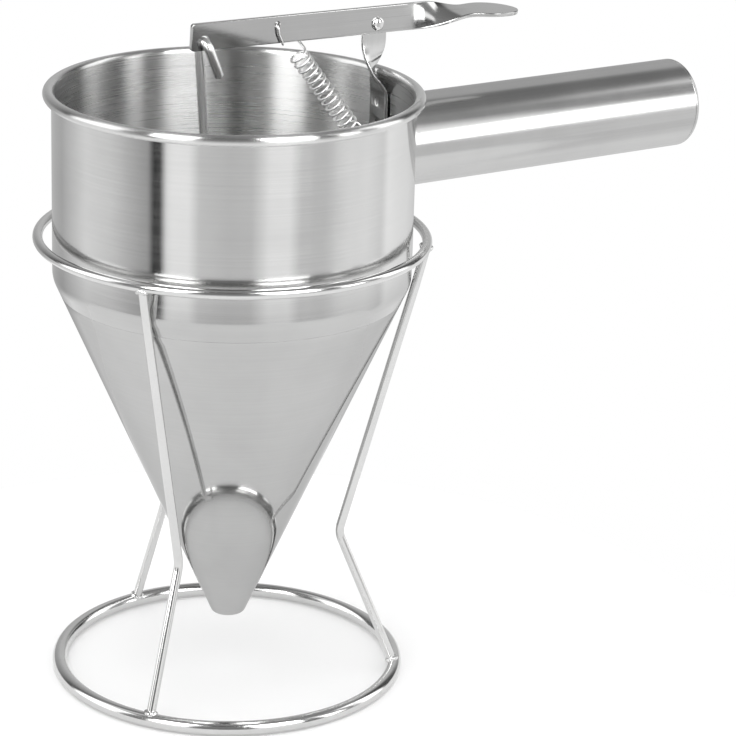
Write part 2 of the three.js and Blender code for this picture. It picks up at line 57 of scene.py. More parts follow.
# Fits
CLEARANCE = 0.3 * MM

# Bowl and cone
BOWL_RADIUS = 65 * MM
SHEET = 1 * MM
WALL_HEIGHT = 66.9 * MM
RIM_ROLL_RADIUS = 2.05 * MM
SHOULDER_RADIUS = 10 * MM
SKIRT_LENGTH = 4 * MM
SEAM_GAP = 0.03 * MM
SEAM_EDGE = 0.06 * MM  # rounding of the two sheets' edges, which draws the faint seam
SEAM_MIDDLE = 0.3 * SEAM_EDGE  # place of the rounding's middle point
OUTLET_RADIUS = 6 * MM
OUTLET_LIP_RADIUS = 1.8 * MM
OUTLET_BORE = 4.1 * MM
BORE_EDGE = 0.3 * MM
OUTLET_HEIGHT = 21.2 * MM
CONE_HEIGHT = 132.8 * MM

# Handle
HANDLE_RADIUS = 17 * MM
HANDLE_WALL = 1.2 * MM
HANDLE_DROP = 25.8 * MM
HANDLE_REACH = 201.1 * MM
TUBE_EDGE = 0.15 * MM
CAP_GAP = 0.06 * MM
CAP_FLANGE = 1.8 * MM
CAP_EDGE_RADIUS = 1.3 * MM
CAP_INNER_EDGE = 0.3 * MM
CAP_DISH = 0.8 * MM
CAP_DISH_ROUNDING = 0.9 * MM
CAP_CREST_ROUNDING = 0.7 * MM
CAP_SPIGOT = 7 * MM
CAP_WALL = 1.2 * MM
HANDLE_WELD_RADIUS = 0.55 * MM
HANDLE_WELD_OUT = 0.1 * MM  # from the tube's surface to the middle of the weld

# Lever
LEVER_RISE = 20.95 * MM
LEVER_TILT = radians(0.8)
LEVER_LEAN = radians(-3.6)  # the strip's hooked end leans forward a little
LEVER_LEAN_REACH = 45 * MM
LEVER_HEIGHT = 10 * MM
LEVER_THICKNESS = 1.5 * MM
LEVER_TAIL = 18.4 * MM
LEVER_END_ROUNDING = 1.2 * MM
LEVER_EDGE = 0.35 * MM
TWIST_START = 70.2 * MM
TWIST_LENGTH = 31.2 * MM
TWIST_ANGLE = radians(84)
PAD_LENGTH = 21 * MM
PAD_WIDTH = 14.1 * MM
PAD_DROOP = 1.6 * MM
PAD_OVERLAP = 6 * MM
PAD_TIP = 0.999  # share of the leaf that is drawn, so that its tip keeps a width

# Pivot and bracket
PIVOT_BELOW_MIDDLE = 1.5 * MM
RIVET_SHANK = 1.5 * MM
SHANK_PLAY = 0.1 * MM
RIVET_GAP = 0.05 * MM
RIVET_HEAD_RADIUS = 2.5 * MM
RIVET_HEAD_HEIGHT = 1.3 * MM
RIVET_HEAD_SKIRT = 0.25 * MM  # the head's edge stands square before its dome
BRACKET_WIDTH = 10.4 * MM
BRACKET_THICKNESS = 1.2 * MM
BRACKET_EDGE = 0.3 * MM
BRACKET_CROWN = 0.975  # share of the quarter round that is drawn, so that its top keeps a width
BRACKET_CROWN_EXTRA = 0.25 * MM  # width that makes up for the rounded edge at the top
BRACKET_LEAN = 3 * MM
BRACKET_LEAN_START = 0.5  # share of the twist after which the bracket leans to the wall
BRACKET_TWIST_TOP = 5.4 * MM
BRACKET_TWIST_LENGTH = 22 * MM
BRACKET_PLATE = 19 * MM
LUG_BEND = 1.8 * MM
LUG_LENGTH = 6 * MM
LUG_HOLE = 1.3 * MM
LUG_HOLE_INSET = 3 * MM
WELD_DIMPLE = 2 * MM
WELD_DIMPLE_DEPTH = 0.35 * MM
WELD_SHARES = (0.12, 0.56)  # places of the spot welds, down the plate

# Rod and stopper
ROD_RADIUS = 1.75 * MM
ROD_PLAY = 0.45 * MM
HOOK_HOLE_REACH = 13.3 * MM
HOOK_HOLE_BELOW_MIDDLE = 1.9 * MM
HOOK_HOLE = 2.3 * MM
HOOK_TAIL = 10.6 * MM
HOOK_TAIL_ANGLE = radians(22)
ROD_FOOT = 7 * MM
STOPPER_RADIUS = 7 * MM
STOPPER_BODY = 5 * MM
STOPPER_NECK = 3 * MM
STOPPER_SOCKET = 4 * MM
STOPPER_EDGE = 0.3 * MM

# Return spring
SPRING_WIRE = 0.45 * MM
SPRING_RADIUS = 3.3 * MM
SPRING_TURNS = 14
SPRING_LEAD = 0.12  # turns that ease from the coil into each hook
SPRING_HOLE = 1.1 * MM
SPRING_HOLE_REACH = 16.7 * MM
SPRING_HOLE_ABOVE_MIDDLE = 1.9 * MM
SPRING_HOOK = 14.5 * MM
SPRING_BODY = 38.9 * MM
HOOK_REACH = 11 * MM
HOOK_FALL = 7.7 * MM
HOOK_DROP = 7.6 * MM
HOOK_SIDE_STEP = 2.2 * MM
HOOK_SWAY = 0.15  # share of the side step by which the hook's upper part sways
UPPER_EASE = 2.5 * MM
LOWER_EASE = 4 * MM

# Stand
RING_WIRE = 1.8 * MM
RING_RISE = 14.3 * MM
RING_PLAY = 3.4 * MM
BASE_WIRE = 2.6 * MM
BASE_INSET = 1.8 * MM
LEG_WIRE = 1.65 * MM
KNEE_INSET = 24 * MM
KNEE_HEIGHT = 55.2 * MM
KNEE_BEND = 9 * MM
LEG_AZIMUTHS = {"front": -147, "right": -37, "back": 94}  # degrees from +X

# Weld metal on the stand
WELD_DROPS = 20  # round each joint
WELD_DROP_PLACE = 1.02  # of the leg wire's radius
WELD_BEADS = {"Drop radius": 0.74 * MM, "Unevenness": 0.35, "Grain": 0.16 * MM, "Seed": 7}

# Fineness
AROUND_BOWL = 288
AROUND_TUBE = 144
AROUND_WELD_MARK = 192
AROUND_STOPPER = 96
AROUND_SMALL = 64
SPAN = 3.5 * MM  # longest step along a straight side of a profile
SIDE_END = 0.04  # share of a long side that is kept beside each of its ends
WIRE_SIDES = 32
BASE_WIRE_SIDES = 40
SPRING_SIDES = 14
WELD_SIDES = 12
SPRING_STEPS = 28  # for each turn
EASE_STEPS = 10
BEND_STEPS = 12
HOOK_STEPS = 18
LEG_STEPS = 16
DOME_STEPS = 6
FLAT_END = (0.25, 0.72)  # depth and width of a wire's cut end, as shares of its radius
TIP_WIDTH = 0.02  # share of the radius that a domed end keeps at its tip
STRIP_CORNER_STEPS = 4
CAP_STEPS = 10
RIVET_STEPS = 14
TUBE_ROWS = 44
BORE_ROWS = 8

# Heights and places that follow
CONE_ANGLE = atan((BOWL_RADIUS - OUTLET_RADIUS) / CONE_HEIGHT)
CORNER_HEIGHT = OUTLET_HEIGHT + CONE_HEIGHT
RIM_HEIGHT = CORNER_HEIGHT + WALL_HEIGHT
BORE_RADIUS = BOWL_RADIUS - SHEET
SHOULDER_CENTRE = (BOWL_RADIUS - SHOULDER_RADIUS, CORNER_HEIGHT + SHOULDER_RADIUS * tan(CONE_ANGLE / 2))
SHOULDER_RISE = CONE_HEIGHT - SHOULDER_RADIUS * tan(CONE_ANGLE / 2) * cos(CONE_ANGLE)
SKIRT_RISE = SHOULDER_RISE - SKIRT_LENGTH * cos(CONE_ANGLE)
HANDLE_HEIGHT = RIM_HEIGHT - HANDLE_DROP
LEVER_MIDDLE = RIM_HEIGHT + LEVER_RISE
BRACKET_SIDE = LEVER_THICKNESS / 2 + CLEARANCE + BRACKET_THICKNESS / 2
PLATE_EDGE = BRACKET_SIDE + BRACKET_WIDTH / 2
PLATE_MIDDLE = sqrt(BORE_RADIUS ** 2 - PLATE_EDGE ** 2) - CLEARANCE - BRACKET_THICKNESS / 2
PIVOT = Vector((PLATE_MIDDLE - BRACKET_LEAN, 0, LEVER_MIDDLE - PIVOT_BELOW_MIDDLE))
TILT = Matrix.Rotation(LEVER_TILT, 3, "Y")
HOOK_POINT = PIVOT + TILT @ (Vector((-HOOK_HOLE_REACH, 0, LEVER_MIDDLE - HOOK_HOLE_BELOW_MIDDLE)) - PIVOT)
SPRING_HEAD = PIVOT + TILT @ (Vector((SPRING_HOLE_REACH, 0, LEVER_MIDDLE + SPRING_HOLE_ABOVE_MIDDLE)) - PIVOT)
BEND_TOP = PIVOT.z - BRACKET_TWIST_TOP - BRACKET_TWIST_LENGTH - BRACKET_PLATE
LUG_END = PLATE_MIDDLE - LUG_BEND - LUG_LENGTH
SPRING_FOOT = Vector((LUG_END + LUG_HOLE_INSET, BRACKET_SIDE, BEND_TOP - LUG_BEND))
TOP_RING_RADIUS = BOWL_RADIUS + RING_PLAY + RING_WIRE
RING_HEIGHT = CORNER_HEIGHT + RING_RISE
BASE_RADIUS = BOWL_RADIUS - BASE_INSET
BASE_HEIGHT = BASE_WIRE
KNEE_RADIUS = BOWL_RADIUS - KNEE_INSET


# ---- points and profiles

def polar(radius, angle):
    return radius * cos(angle), radius * sin(angle)


def turns(count):
    """Angles of a full turn in equal steps."""
    return [FULL_TURN * k / count for k in range(count)]


def quarter(steps):
    """Angles from 0 to a quarter turn in equal steps."""
    return [QUARTER_TURN * i / steps for i in range(steps + 1)]


def arc(centre, radius, start, end, steps):
    """Points of an arc in a plane, from one angle to another."""
    points = []
    for i in range(steps + 1):
        x, y = polar(radius, start + (end - start) * i / steps)
        points.append((centre[0] + x, centre[1] + y))
    return points


def on_cone(rise, depth):
    """Point on the cone, a height above the outlet, moved in by a depth along its normal."""
    return (
        OUTLET_RADIUS + rise * tan(CONE_ANGLE) - depth * cos(CONE_ANGLE),
        OUTLET_HEIGHT + rise + depth * sin(CONE_ANGLE),
    )


def fine(profile):
    """The closed profile with its long sides stepped, so that rounding doesn't bend their shading."""
    points = []
    for start, end in zip(profile, profile[1:] + profile[:1]):
        length = dist(start, end)
        steps = max(1, ceil(length / SPAN))
        shares = {i / steps for i in range(steps)}
        if length > SPAN:
            shares |= {SIDE_END, 1 - SIDE_END}
        points += [
            (start[0] + (end[0] - start[0]) * share, start[1] + (end[1] - start[1]) * share)
            for share in sorted(shares)
        ]
    return points


def smooth(share):
    """Ease a share in and out between 0 and 1."""
    share = min(max(share, 0), 1)
    return share * share * (3 - 2 * share)


def bent(corners, bends, steps=BEND_STEPS):
    """Points of a bent path: each inner corner is rounded by its bend radius, or stays sharp at 0."""
    points = [corners[0].copy()]
    for i in range(1, len(corners) - 1):
        bend = bends[i - 1]
        incoming = (corners[i] - corners[i - 1]).normalized()
        outgoing = (corners[i + 1] - corners[i]).normalized()
        turn = incoming.angle(outgoing)
        start = corners[i] - incoming * bend * tan(turn / 2)
        side = (outgoing - incoming * outgoing.dot(incoming)).normalized()
        for k in range(steps + 1 if bend else 1):
            angle = turn * k / steps
            points.append(start + incoming * bend * sin(angle) + side * bend * (1 - cos(angle)))
    points.append(corners[-1].copy())
    return points


def between(start, start_way, end, end_way, steps=EASE_STEPS):
    """Points of a smooth curve that leaves and arrives along the given ways."""
    points = []
    for i in range(1, steps):
        t = i / steps
        points.append(
            start * (2 * t ** 3 - 3 * t ** 2 + 1) + start_way * (t ** 3 - 2 * t ** 2 + t)
            + end * (3 * t ** 2 - 2 * t ** 3) + end_way * (t ** 3 - t ** 2)
        )
    return points


# ---- meshes

def new_object(name, vertices, faces, edges=()):
    """Mesh object from points measured from the bowl's axis."""
    mesh = bpy.data.meshes.new(name)
    mesh.from_pydata([(AXIS_X + v[0], v[1], v[2]) for v in vertices], list(edges), faces)
    mesh.update()
    obj = bpy.data.objects.new(name, mesh)
    bpy.context.scene.collection.objects.link(obj)
    return obj


def shade(obj, sharp=40):
    """Smooth shading that keeps edges sharper than the given angle in degrees."""
    obj.data.shade_smooth()
    obj.data.set_sharp_from_angle(angle=radians(sharp))


def make_plain(obj):
    """Turn the result of an object's modifiers into its own mesh."""
    graph = bpy.context.evaluated_depsgraph_get()
    mesh = bpy.data.meshes.new_from_object(obj.evaluated_get(graph), depsgraph=graph)
    obj.modifiers.clear()
    obj.data = mesh


def face_out(obj):
    """Make sure that the faces of a closed mesh point outwards."""
    mesh = obj.data
    mesh.calc_loop_triangles()
    volume = 0
    for triangle in mesh.loop_triangles:
        a, b, c = (mesh.vertices[i].co for i in triangle.vertices)
        volume += a.dot(b.cross(c))
    if volume < 0:
        mesh.flip_normals()


UPRIGHT = Matrix.Identity(3)
ALONG_X = Matrix(((0, 0, 1), (0, 1, 0), (-1, 0, 0)))
ALONG_Y = Matrix(((1, 0, 0), (0, 0, 1), (0, -1, 0)))
ALONG_Y_MIRRORED = Matrix(((1, 0, 0), (0, 0, 1), (0, 1, 0)))


def revolved(name, profile, segments, turn=UPRIGHT, centre=Vector()):
    """Closed body from a closed profile of radius and height; points on the axis become poles."""
    touching = 1e-7
    vertices, rings, faces = [], [], []
    for radius, height in profile:
        count = 1 if radius < touching else segments
        rings.append(range(len(vertices), len(vertices) + count))
        for angle in turns(segments)[:count]:
            vertices.append(turn @ Vector((*polar(radius, angle), height)) + centre)
    for lower, upper in zip(rings, rings[1:] + rings[:1]):
        if len(lower) + len(upper) == 2:
            continue
        for k in range(segments):
            low, high = ([ring[i % segments % len(ring)] for i in (k, k + 1)] for ring in (lower, upper))
            faces.append(tuple(dict.fromkeys((*low, *high[::-1]))))
    obj = new_object(name, vertices, faces)
    face_out(obj)
    shade(obj)
    return obj


def quads(loops, around, closed=True):
    """Faces between neighbouring loops of points; when closed, the last loop is joined to the first."""
    faces = []
    for i in range(loops if closed else loops - 1):
        lower, upper = i * around, (i + 1) % loops * around
        for k in range(around):
            after = (k + 1) % around
            faces.append((lower + k, lower + after, upper + after, upper + k))
    return faces


def strip_section(half, thick, inset, rounding):
    """Rounded rectangle round a strip, with a point beside each rounding that keeps the faces flat."""
    wide, deep = half - inset, thick - inset
    most, least = 0.95 * min(wide, deep), 0.01 * MM
    radius = max(min(rounding - inset, most), least)
    support = min(0.1 * MM, 0.5 * (wide - radius), 0.5 * (deep - radius))
    points = []
    for k, (sx, sy) in enumerate(((1, 1), (-1, 1), (-1, -1), (1, -1))):
        centre = (sx * (wide - radius), sy * (deep - radius))
        corner = arc(centre, radius, QUARTER_TURN * k, QUARTER_TURN * (k + 1), STRIP_CORNER_STEPS)
        first, last = corner[0], corner[-1]
        if k % 2 == 0:
            back, ahead = (first[0], first[1] - sy * support), (last[0] - sx * support, last[1])
        else:
            back, ahead = (first[0] - sx * support, first[1]), (last[0], last[1] - sy * support)
        points += [back, *corner, ahead]
    return points


def strip(name, stations, thickness, rounding, cutters=()):
    """Flat strip through stations of (centre, across, half width, inset), with holes cut in it."""
    vertices = []
    for i, (centre, across, half, inset) in enumerate(stations):
        before = stations[max(i - 1, 0)][0]
        after = stations[min(i + 1, len(stations) - 1)][0]
        along = (after - before).normalized()
        wide = (across - along * along.dot(across)).normalized()
        normal = along.cross(wide)
        section = strip_section(half, thickness / 2, inset, rounding)
        vertices += [centre + wide * a + normal * b for a, b in section]
    count = len(section)
    faces = quads(len(stations), count, closed=False)
    faces.append(tuple(range(count))[::-1])
    faces.append(tuple(range(len(vertices) - count, len(vertices))))
    obj = new_object(name, vertices, faces)
    face_out(obj)
    for cutter in cutters:
        cut = obj.modifiers.new("cut", "BOOLEAN")
        cut.operation = "DIFFERENCE"
        cut.solver = "EXACT"
        cut.object = cutter
    make_plain(obj)
    for cutter in cutters:
        bpy.data.objects.remove(cutter)
    shade(obj, sharp=30)
    return obj


def drill(centre, radius, length, turn=ALONG_Y):
    """Round cutter whose ends widen where it leaves a strip of the given thickness."""
    chamfer = 0.12 * MM
    half = length / 2
    wide, far, edge = radius + chamfer + radius, half + radius, half - chamfer
    profile = [(0, far), (wide, far), (radius, edge), (radius, -edge), (wide, -far), (0, -far)]
    return revolved("drill", profile, AROUND_SMALL, turn, centre)


# ---- wire and welds by Geometry Nodes

def new_tree(name, inputs):
    """Geometry tree with named inputs; returns it and its inputs' sockets."""
    tree = bpy.data.node_groups.new(name, "GeometryNodeTree")
    for label, kind in {"Geometry": "Geometry", **inputs, "Finish": "Material"}.items():
        tree.interface.new_socket(label, in_out="INPUT", socket_type=f"NodeSocket{kind}")
    tree.interface.new_socket("Geometry", in_out="OUTPUT", socket_type="NodeSocketGeometry")
    return tree, tree.nodes.new("NodeGroupInput").outputs


def add_node(tree, kind, links=(), **values):
    """Node with its settings by name, and its inputs as (name or index, value, socket or node)."""
    node = tree.nodes.new(kind)
    for key, value in values.items():
        setattr(node, key, value)
    for target, source in links:
        if hasattr(source, "outputs"):
            source = source.outputs[0]
        if hasattr(source, "is_output"):
            tree.links.new(source, node.inputs[target])
        else:
            node.inputs[target].default_value = source
    return node


def finish_tree(tree, geometry, finish):
    """Smooth shading, then Realize Instances and Set Material, in which every tree ends."""
    soft = add_node(tree, "GeometryNodeSetShadeSmooth", [("Geometry", geometry)])
    real = add_node(tree, "GeometryNodeRealizeInstances", [("Geometry", soft)])
    made = add_node(tree, "GeometryNodeSetMaterial", [("Geometry", real), ("Material", finish)])
    add_node(tree, "NodeGroupOutput", [("Geometry", made)])
    return tree


def wire_tree():
    """Round wire along a path, thinned towards its ends by the path's own attribute."""
    tree, given = new_tree("wire along path", {"Wire radius": "Float", "Sides": "Int"})
    curve = add_node(tree, "GeometryNodeMeshToCurve", [("Mesh", given["Geometry"])])
    circle = add_node(tree, "GeometryNodeCurvePrimitiveCircle", [
        ("Resolution", given["Sides"]), ("Radius", given["Wire radius"]),
    ])
    thin = add_node(tree, "GeometryNodeInputNamedAttribute", [("Name", "thin")])
    body = add_node(tree, "GeometryNodeCurveToMesh", [
        ("Curve", curve), ("Profile Curve", circle), ("Fill Caps", True),
        ("Scale", thin.outputs["Attribute"]),
    ])
    return finish_tree(tree, body, given["Finish"])


def bead_tree():
    """Weld metal: drops of random size on the given points, run together into one skin."""
    tree, given = new_tree("weld beads", {
        "Drop radius": "Float", "Unevenness": "Float", "Grain": "Float", "Seed": "Int",
    })
    chance = add_node(tree, "FunctionNodeRandomValue", [(2, 1.0), (3, 0.0), ("Seed", given["Seed"])])
    spread = add_node(tree, "ShaderNodeMath", [
        (0, chance.outputs[1]), (1, given["Unevenness"]), (2, 1.0),
    ], operation="MULTIPLY_ADD")
    size = add_node(tree, "ShaderNodeMath", [(0, spread), (1, given["Drop radius"])], operation="MULTIPLY")
    drops = add_node(tree, "GeometryNodeMeshToPoints", [("Mesh", given["Geometry"]), ("Radius", size)])
    cloud = add_node(tree, "GeometryNodePointsToVolume", [
        ("Points", drops), ("Radius", size), ("Voxel Size", given["Grain"]),
    ], resolution_mode="VOXEL_SIZE")
    skin = add_node(tree, "GeometryNodeVolumeToMesh", [
        ("Volume", cloud), ("Threshold", 0.1),
    ], resolution_mode="GRID")
    return finish_tree(tree, skin, given["Finish"])


WIRE_TREE = wire_tree()
BEAD_TREE = bead_tree()


def run_tree(obj, tree, values):
    """Run a tree on an object's mesh, its inputs set by their identifiers, and keep the plain result."""
    modifier = obj.modifiers.new(tree.name, "NODES")
    modifier.node_group = tree
    for item in tree.interface.items_tree:
        if item.in_out == "INPUT" and item.name in values:
            modifier[item.identifier] = values[item.name]
    make_plain(obj)


def wire_end(tip, inward, radius, domed):
    """Path points and their thinning at a wire's end, out to its tip; an end is domed or cut nearly flat."""
    deep, flat = (1, 0) if domed else FLAT_END
    depth = radius * deep
    points, thin = [tip + inward * depth], [1.0]
    for angle in quarter(DOME_STEPS)[1:]:
        points.append(tip + inward * depth * (1 - sin(angle)))
        thin.append(max(flat + (1 - flat) * cos(angle), TIP_WIDTH))
    return points, thin


def wire(name, points, radius, finish, sides=WIRE_SIDES, closed=False, domed=True):
    """Wire along points, as a closed ring or with two ends."""
    path = [Vector(p) for p in points]
    thin = [1.0] * len(path)
    if not closed:
        head, head_thin = wire_end(path[0], (path[1] - path[0]).normalized(), radius, domed)
        tail, tail_thin = wire_end(path[-1], (path[-2] - path[-1]).normalized(), radius, domed)
        path = head[::-1] + path[1:-1] + tail
        thin = head_thin[::-1] + thin[1:-1] + tail_thin
    count = len(path)
    edges = [(i, i + 1) for i in range(count - 1)] + ([(count - 1, 0)] if closed else [])
    obj = new_object(name, path, [], edges)
    attribute = obj.data.attributes.new("thin", "FLOAT", "POINT")
    for point, value in zip(attribute.data, thin):
        point.value = value
    run_tree(obj, WIRE_TREE, {"Wire radius": radius, "Sides": sides, "Finish": FINISH[finish]})
    face_out(obj)
    shade(obj)
    return obj


# ---- steel

GRAIN_SPAN = (0.3, 0.7)  # where nearly all of a noise lies
SMUDGE_SPAN = (0.35, 0.65)
SMUDGE_SCALE = 28  # features per metre
WORN_SCALE = 9
WORN_SPAN = (0.45, 0.65)  # patches where the scratches show
SCRATCH_SCALE = 0.35  # of the grain's
SCRATCH_CRESTS = (0.66, 0.74)  # crests of the noise that become scratches
SCRATCH_SHADE = 0.06
SCRATCH_ROUGHNESS = 0.12
SCRATCH_DEPTH = 1.5  # times the grain's
GRAIN_ROUGHNESS = 0.02
SMUDGE_ROUGHNESS = (0.88, 1.14)  # times the steel's
BUMP_STRENGTH = 0.5
BRUSHED_ROUND = 0.25  # turn of the anisotropy: brushed round the axis, so that lights stretch upright
STEEL_TINT = (1.0, 1.0, 0.995)
RIM_DULLNESS = 0.7  # of the inside's


class Shader:
    """The node tree of a material or of the world, with short ways to add its nodes."""

    def __init__(self, owner):
        owner.use_nodes = True
        self.tree = owner.node_tree

    def add(self, kind, links=(), **values):
        return add_node(self.tree, kind, links, **values)

    def math(self, operation, *values):
        return self.add("ShaderNodeMath", enumerate(values), operation=operation)

    def plus(self, a, b):
        return self.math("ADD", a, b)

    def times(self, a, b):
        return self.math("MULTIPLY", a, b)

    def remap(self, value, low, high, to_low=0.0, to_high=1.0):
        return self.add("ShaderNodeMapRange", enumerate((value, low, high, to_low, to_high)))

    def mix(self, factor, lower, upper):
        return self.add("ShaderNodeMix", [(0, factor), (6, lower), (7, upper)], data_type="RGBA").outputs[2]

    def surface(self, target, node):
        self.tree.links.new(node.outputs[0], self.tree.nodes["Principled BSDF"].inputs[target])

    def placed(self, stretch=(1, 1, 1)):
        """Object coordinates from the bowl's axis, stretched per axis."""
        place = self.add("ShaderNodeTexCoord").outputs["Object"]
        return self.add("ShaderNodeMapping", [
            ("Vector", place), ("Location", (-AXIS_X * stretch[0], 0, 0)), ("Scale", stretch),
        ])

    def noise(self, scale, detail, roughness, stretch=(1, 1, 1)):
        """Noise with its scale in features per metre."""
        return self.add("ShaderNodeTexNoise", [
            ("Vector", self.placed(stretch)), ("Scale", scale), ("Detail", detail), ("Roughness", roughness),
        ]).outputs["Fac"]

    def by_height(self, start, end, below=0.0, above=1.0):
        height = self.add("ShaderNodeSeparateXYZ", [(0, self.placed())]).outputs[2]
        return self.remap(height, start, end, below, above)

    def inside(self):
        """1 on the inner face of the bowl's cylinder, less on its rim, 0 on its outer face and below it."""
        flat = self.add("ShaderNodeVectorMath", [(0, self.placed()), (1, (1, 1, 0))], operation="MULTIPLY")
        radius = self.add("ShaderNodeVectorMath", [(0, flat)], operation="LENGTH").outputs["Value"]
        inner = self.remap(radius, BORE_RADIUS + 0.3 * SHEET, BORE_RADIUS + 0.7 * SHEET, 1.0, 0.0)
        inner = self.times(inner, self.by_height(CORNER_HEIGHT + 3 * MM, CORNER_HEIGHT + 5 * MM))
        rim = self.by_height(RIM_HEIGHT - 2.4 * MM, RIM_HEIGHT - 1.6 * MM, 0.0, RIM_DULLNESS)
        return self.math("MAXIMUM", inner, rim)

    def painted_shade_below_shoulder(self):
        """Mask of the painted shade: 1 on the bowl's shoulder and skirt, 0 above the stand's ring."""
        return self.by_height(CORNER_HEIGHT + 2 * MM, CORNER_HEIGHT + 13 * MM, 1.0, 0.0)

    def seen(self):
        """Two shares: 1 for camera, glossy and transmission rays, and 1 for glossy rays; 0 for all others."""
        rays = self.add("ShaderNodeLightPath").outputs
        glossy = rays["Is Glossy Ray"]
        direct = self.math("MAXIMUM", rays["Is Camera Ray"], glossy)
        return self.math("MAXIMUM", direct, rays["Is Transmission Ray"]), glossy


def steel(name, tone, roughness, grain_way, grain_scale, grain_depth, anisotropy=0.0, smudge=0.04,
          fleck=0.012, inner_roughness=None, skirt_painted_shade_tone=None, edge_tint=1.0):
    """Steel with fine grain one way, soft smudges, and sparse scratches.

    The bowl is duller inside, and on its skirt below the shoulder its colour is darkened with painted shade
    to the cone's tone.
    """
    material = bpy.data.materials.new(name)
    shader = Shader(material)
    bsdf = shader.tree.nodes["Principled BSDF"]
    bsdf.inputs["Metallic"].default_value = 1
    bsdf.inputs["Anisotropic"].default_value = anisotropy
    bsdf.inputs["Anisotropic Rotation"].default_value = BRUSHED_ROUND
    bsdf.inputs["Specular Tint"].default_value = (edge_tint, edge_tint, edge_tint, 1)

    grain = shader.noise(grain_scale, 4, 0.6, grain_way)
    smudges = shader.noise(SMUDGE_SCALE, 3, 0.55)
    patches = shader.noise(WORN_SCALE, 2, 0.5)

    # Scratches are the crests of a second stretched noise, where the surface is worn
    lines = shader.noise(1.0, 2, 0.4, tuple(s * grain_scale * SCRATCH_SCALE for s in grain_way))
    scratches = shader.times(shader.remap(lines, *SCRATCH_CRESTS), shader.remap(patches, *WORN_SPAN))

    # Colour: grain and smudges change the tone by a few hundredths
    level = shader.plus(shader.remap(grain, *GRAIN_SPAN, -fleck, fleck),
                        shader.remap(smudges, *SMUDGE_SPAN, -smudge * 0.5, smudge * 0.5))
    level = shader.plus(level, tone)
    level = shader.math("SUBTRACT", level, shader.times(scratches, SCRATCH_SHADE))
    # Painted shade: the bowl's skirt below the shoulder is darkened to the cone's tone, which the steel
    # itself doesn't have
    if skirt_painted_shade_tone:
        level = shader.plus(level, shader.times(shader.painted_shade_below_shoulder(), skirt_painted_shade_tone - tone))
    colour = shader.add("ShaderNodeCombineColor", [(i, shader.times(level, STEEL_TINT[i])) for i in range(3)])
    shader.surface("Base Color", colour)

    # Roughness: duller in the smudges and the scratches
    rough = shader.remap(smudges, *GRAIN_SPAN, *(roughness * share for share in SMUDGE_ROUGHNESS))
    if inner_roughness:
        rough = shader.plus(rough, shader.times(shader.inside(), inner_roughness - roughness))
    rough = shader.plus(rough, shader.remap(grain, *GRAIN_SPAN, -GRAIN_ROUGHNESS, GRAIN_ROUGHNESS))
    rough = shader.plus(rough, shader.times(scratches, SCRATCH_ROUGHNESS))
    shader.surface("Roughness", rough)

    # Bump: the grain itself, with the scratches cut into it
    height = shader.math("SUBTRACT", grain, shader.times(scratches, SCRATCH_DEPTH))
    bump = shader.add("ShaderNodeBump", [
        ("Height", height), ("Strength", BUMP_STRENGTH), ("Distance", grain_depth * MM),
    ])
    shader.surface("Normal", bump)
    return material


# Ways that the grain can run, as a stretch per axis
AROUND = (0.004, 0.004, 1)
ALONG_TUBE = (0.004, 1, 1)
ALONG_ROD = (1, 1, 0.02)
EVEN = (1, 1, 1)

# Tone, roughness, way of the grain, its features per metre and depth in mm, and what sets a steel apart
STEELS = {
    # The wall's skirt tone is a painted shade on its skirt below the shoulder
    "wall": (0.68, 0.11, AROUND, 2600, 0.0006,
             {"anisotropy": 1.0, "inner_roughness": 0.28, "skirt_painted_shade_tone": 0.54}),
    "cone": (0.535, 0.05, AROUND, 2600, 0.0003, {"anisotropy": 0.3, "edge_tint": 0.75}),
    "handle": (0.58, 0.17, ALONG_TUBE, 2200, 0.0015, {"fleck": 0.02, "edge_tint": 0.8}),
    "lever": (0.58, 0.1, ALONG_TUBE, 1800, 0.001, {}),
    "bracket": (0.68, 0.14, ALONG_ROD, 1500, 0.0015, {}),
    "rivet": (0.74, 0.08, EVEN, 700, 0.001, {}),
    "spring": (0.9, 0.3, EVEN, 900, 0.002, {}),
    "rod": (0.9, 0.24, ALONG_ROD, 1400, 0.001, {}),
    "stopper": (0.6, 0.2, AROUND, 2400, 0.004, {}),
    "wire": (0.71, 0.14, EVEN, 600, 0.001, {}),
    "weld": (0.7, 0.25, EVEN, 1600, 0.01, {"smudge": 0.14}),
}
FINISH = {f"{kind}_steel": steel(f"{kind} steel", *row, **more) for kind, (*row, more) in STEELS.items()}


def put_on(obj, finish):
    obj.data.materials.clear()
    obj.data.materials.append(FINISH[finish])


def dress(obj, body, slot, *nodes, finish=None):
    """Give a piece its finish (the slot's, unless another is named) and the body it rides on, and hide the
    nodes that it stands for.
    """
    put_on(obj, finish or slot)
    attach(obj, body)
    if nodes:
        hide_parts(*nodes)


# ---- bowl, cone and handle

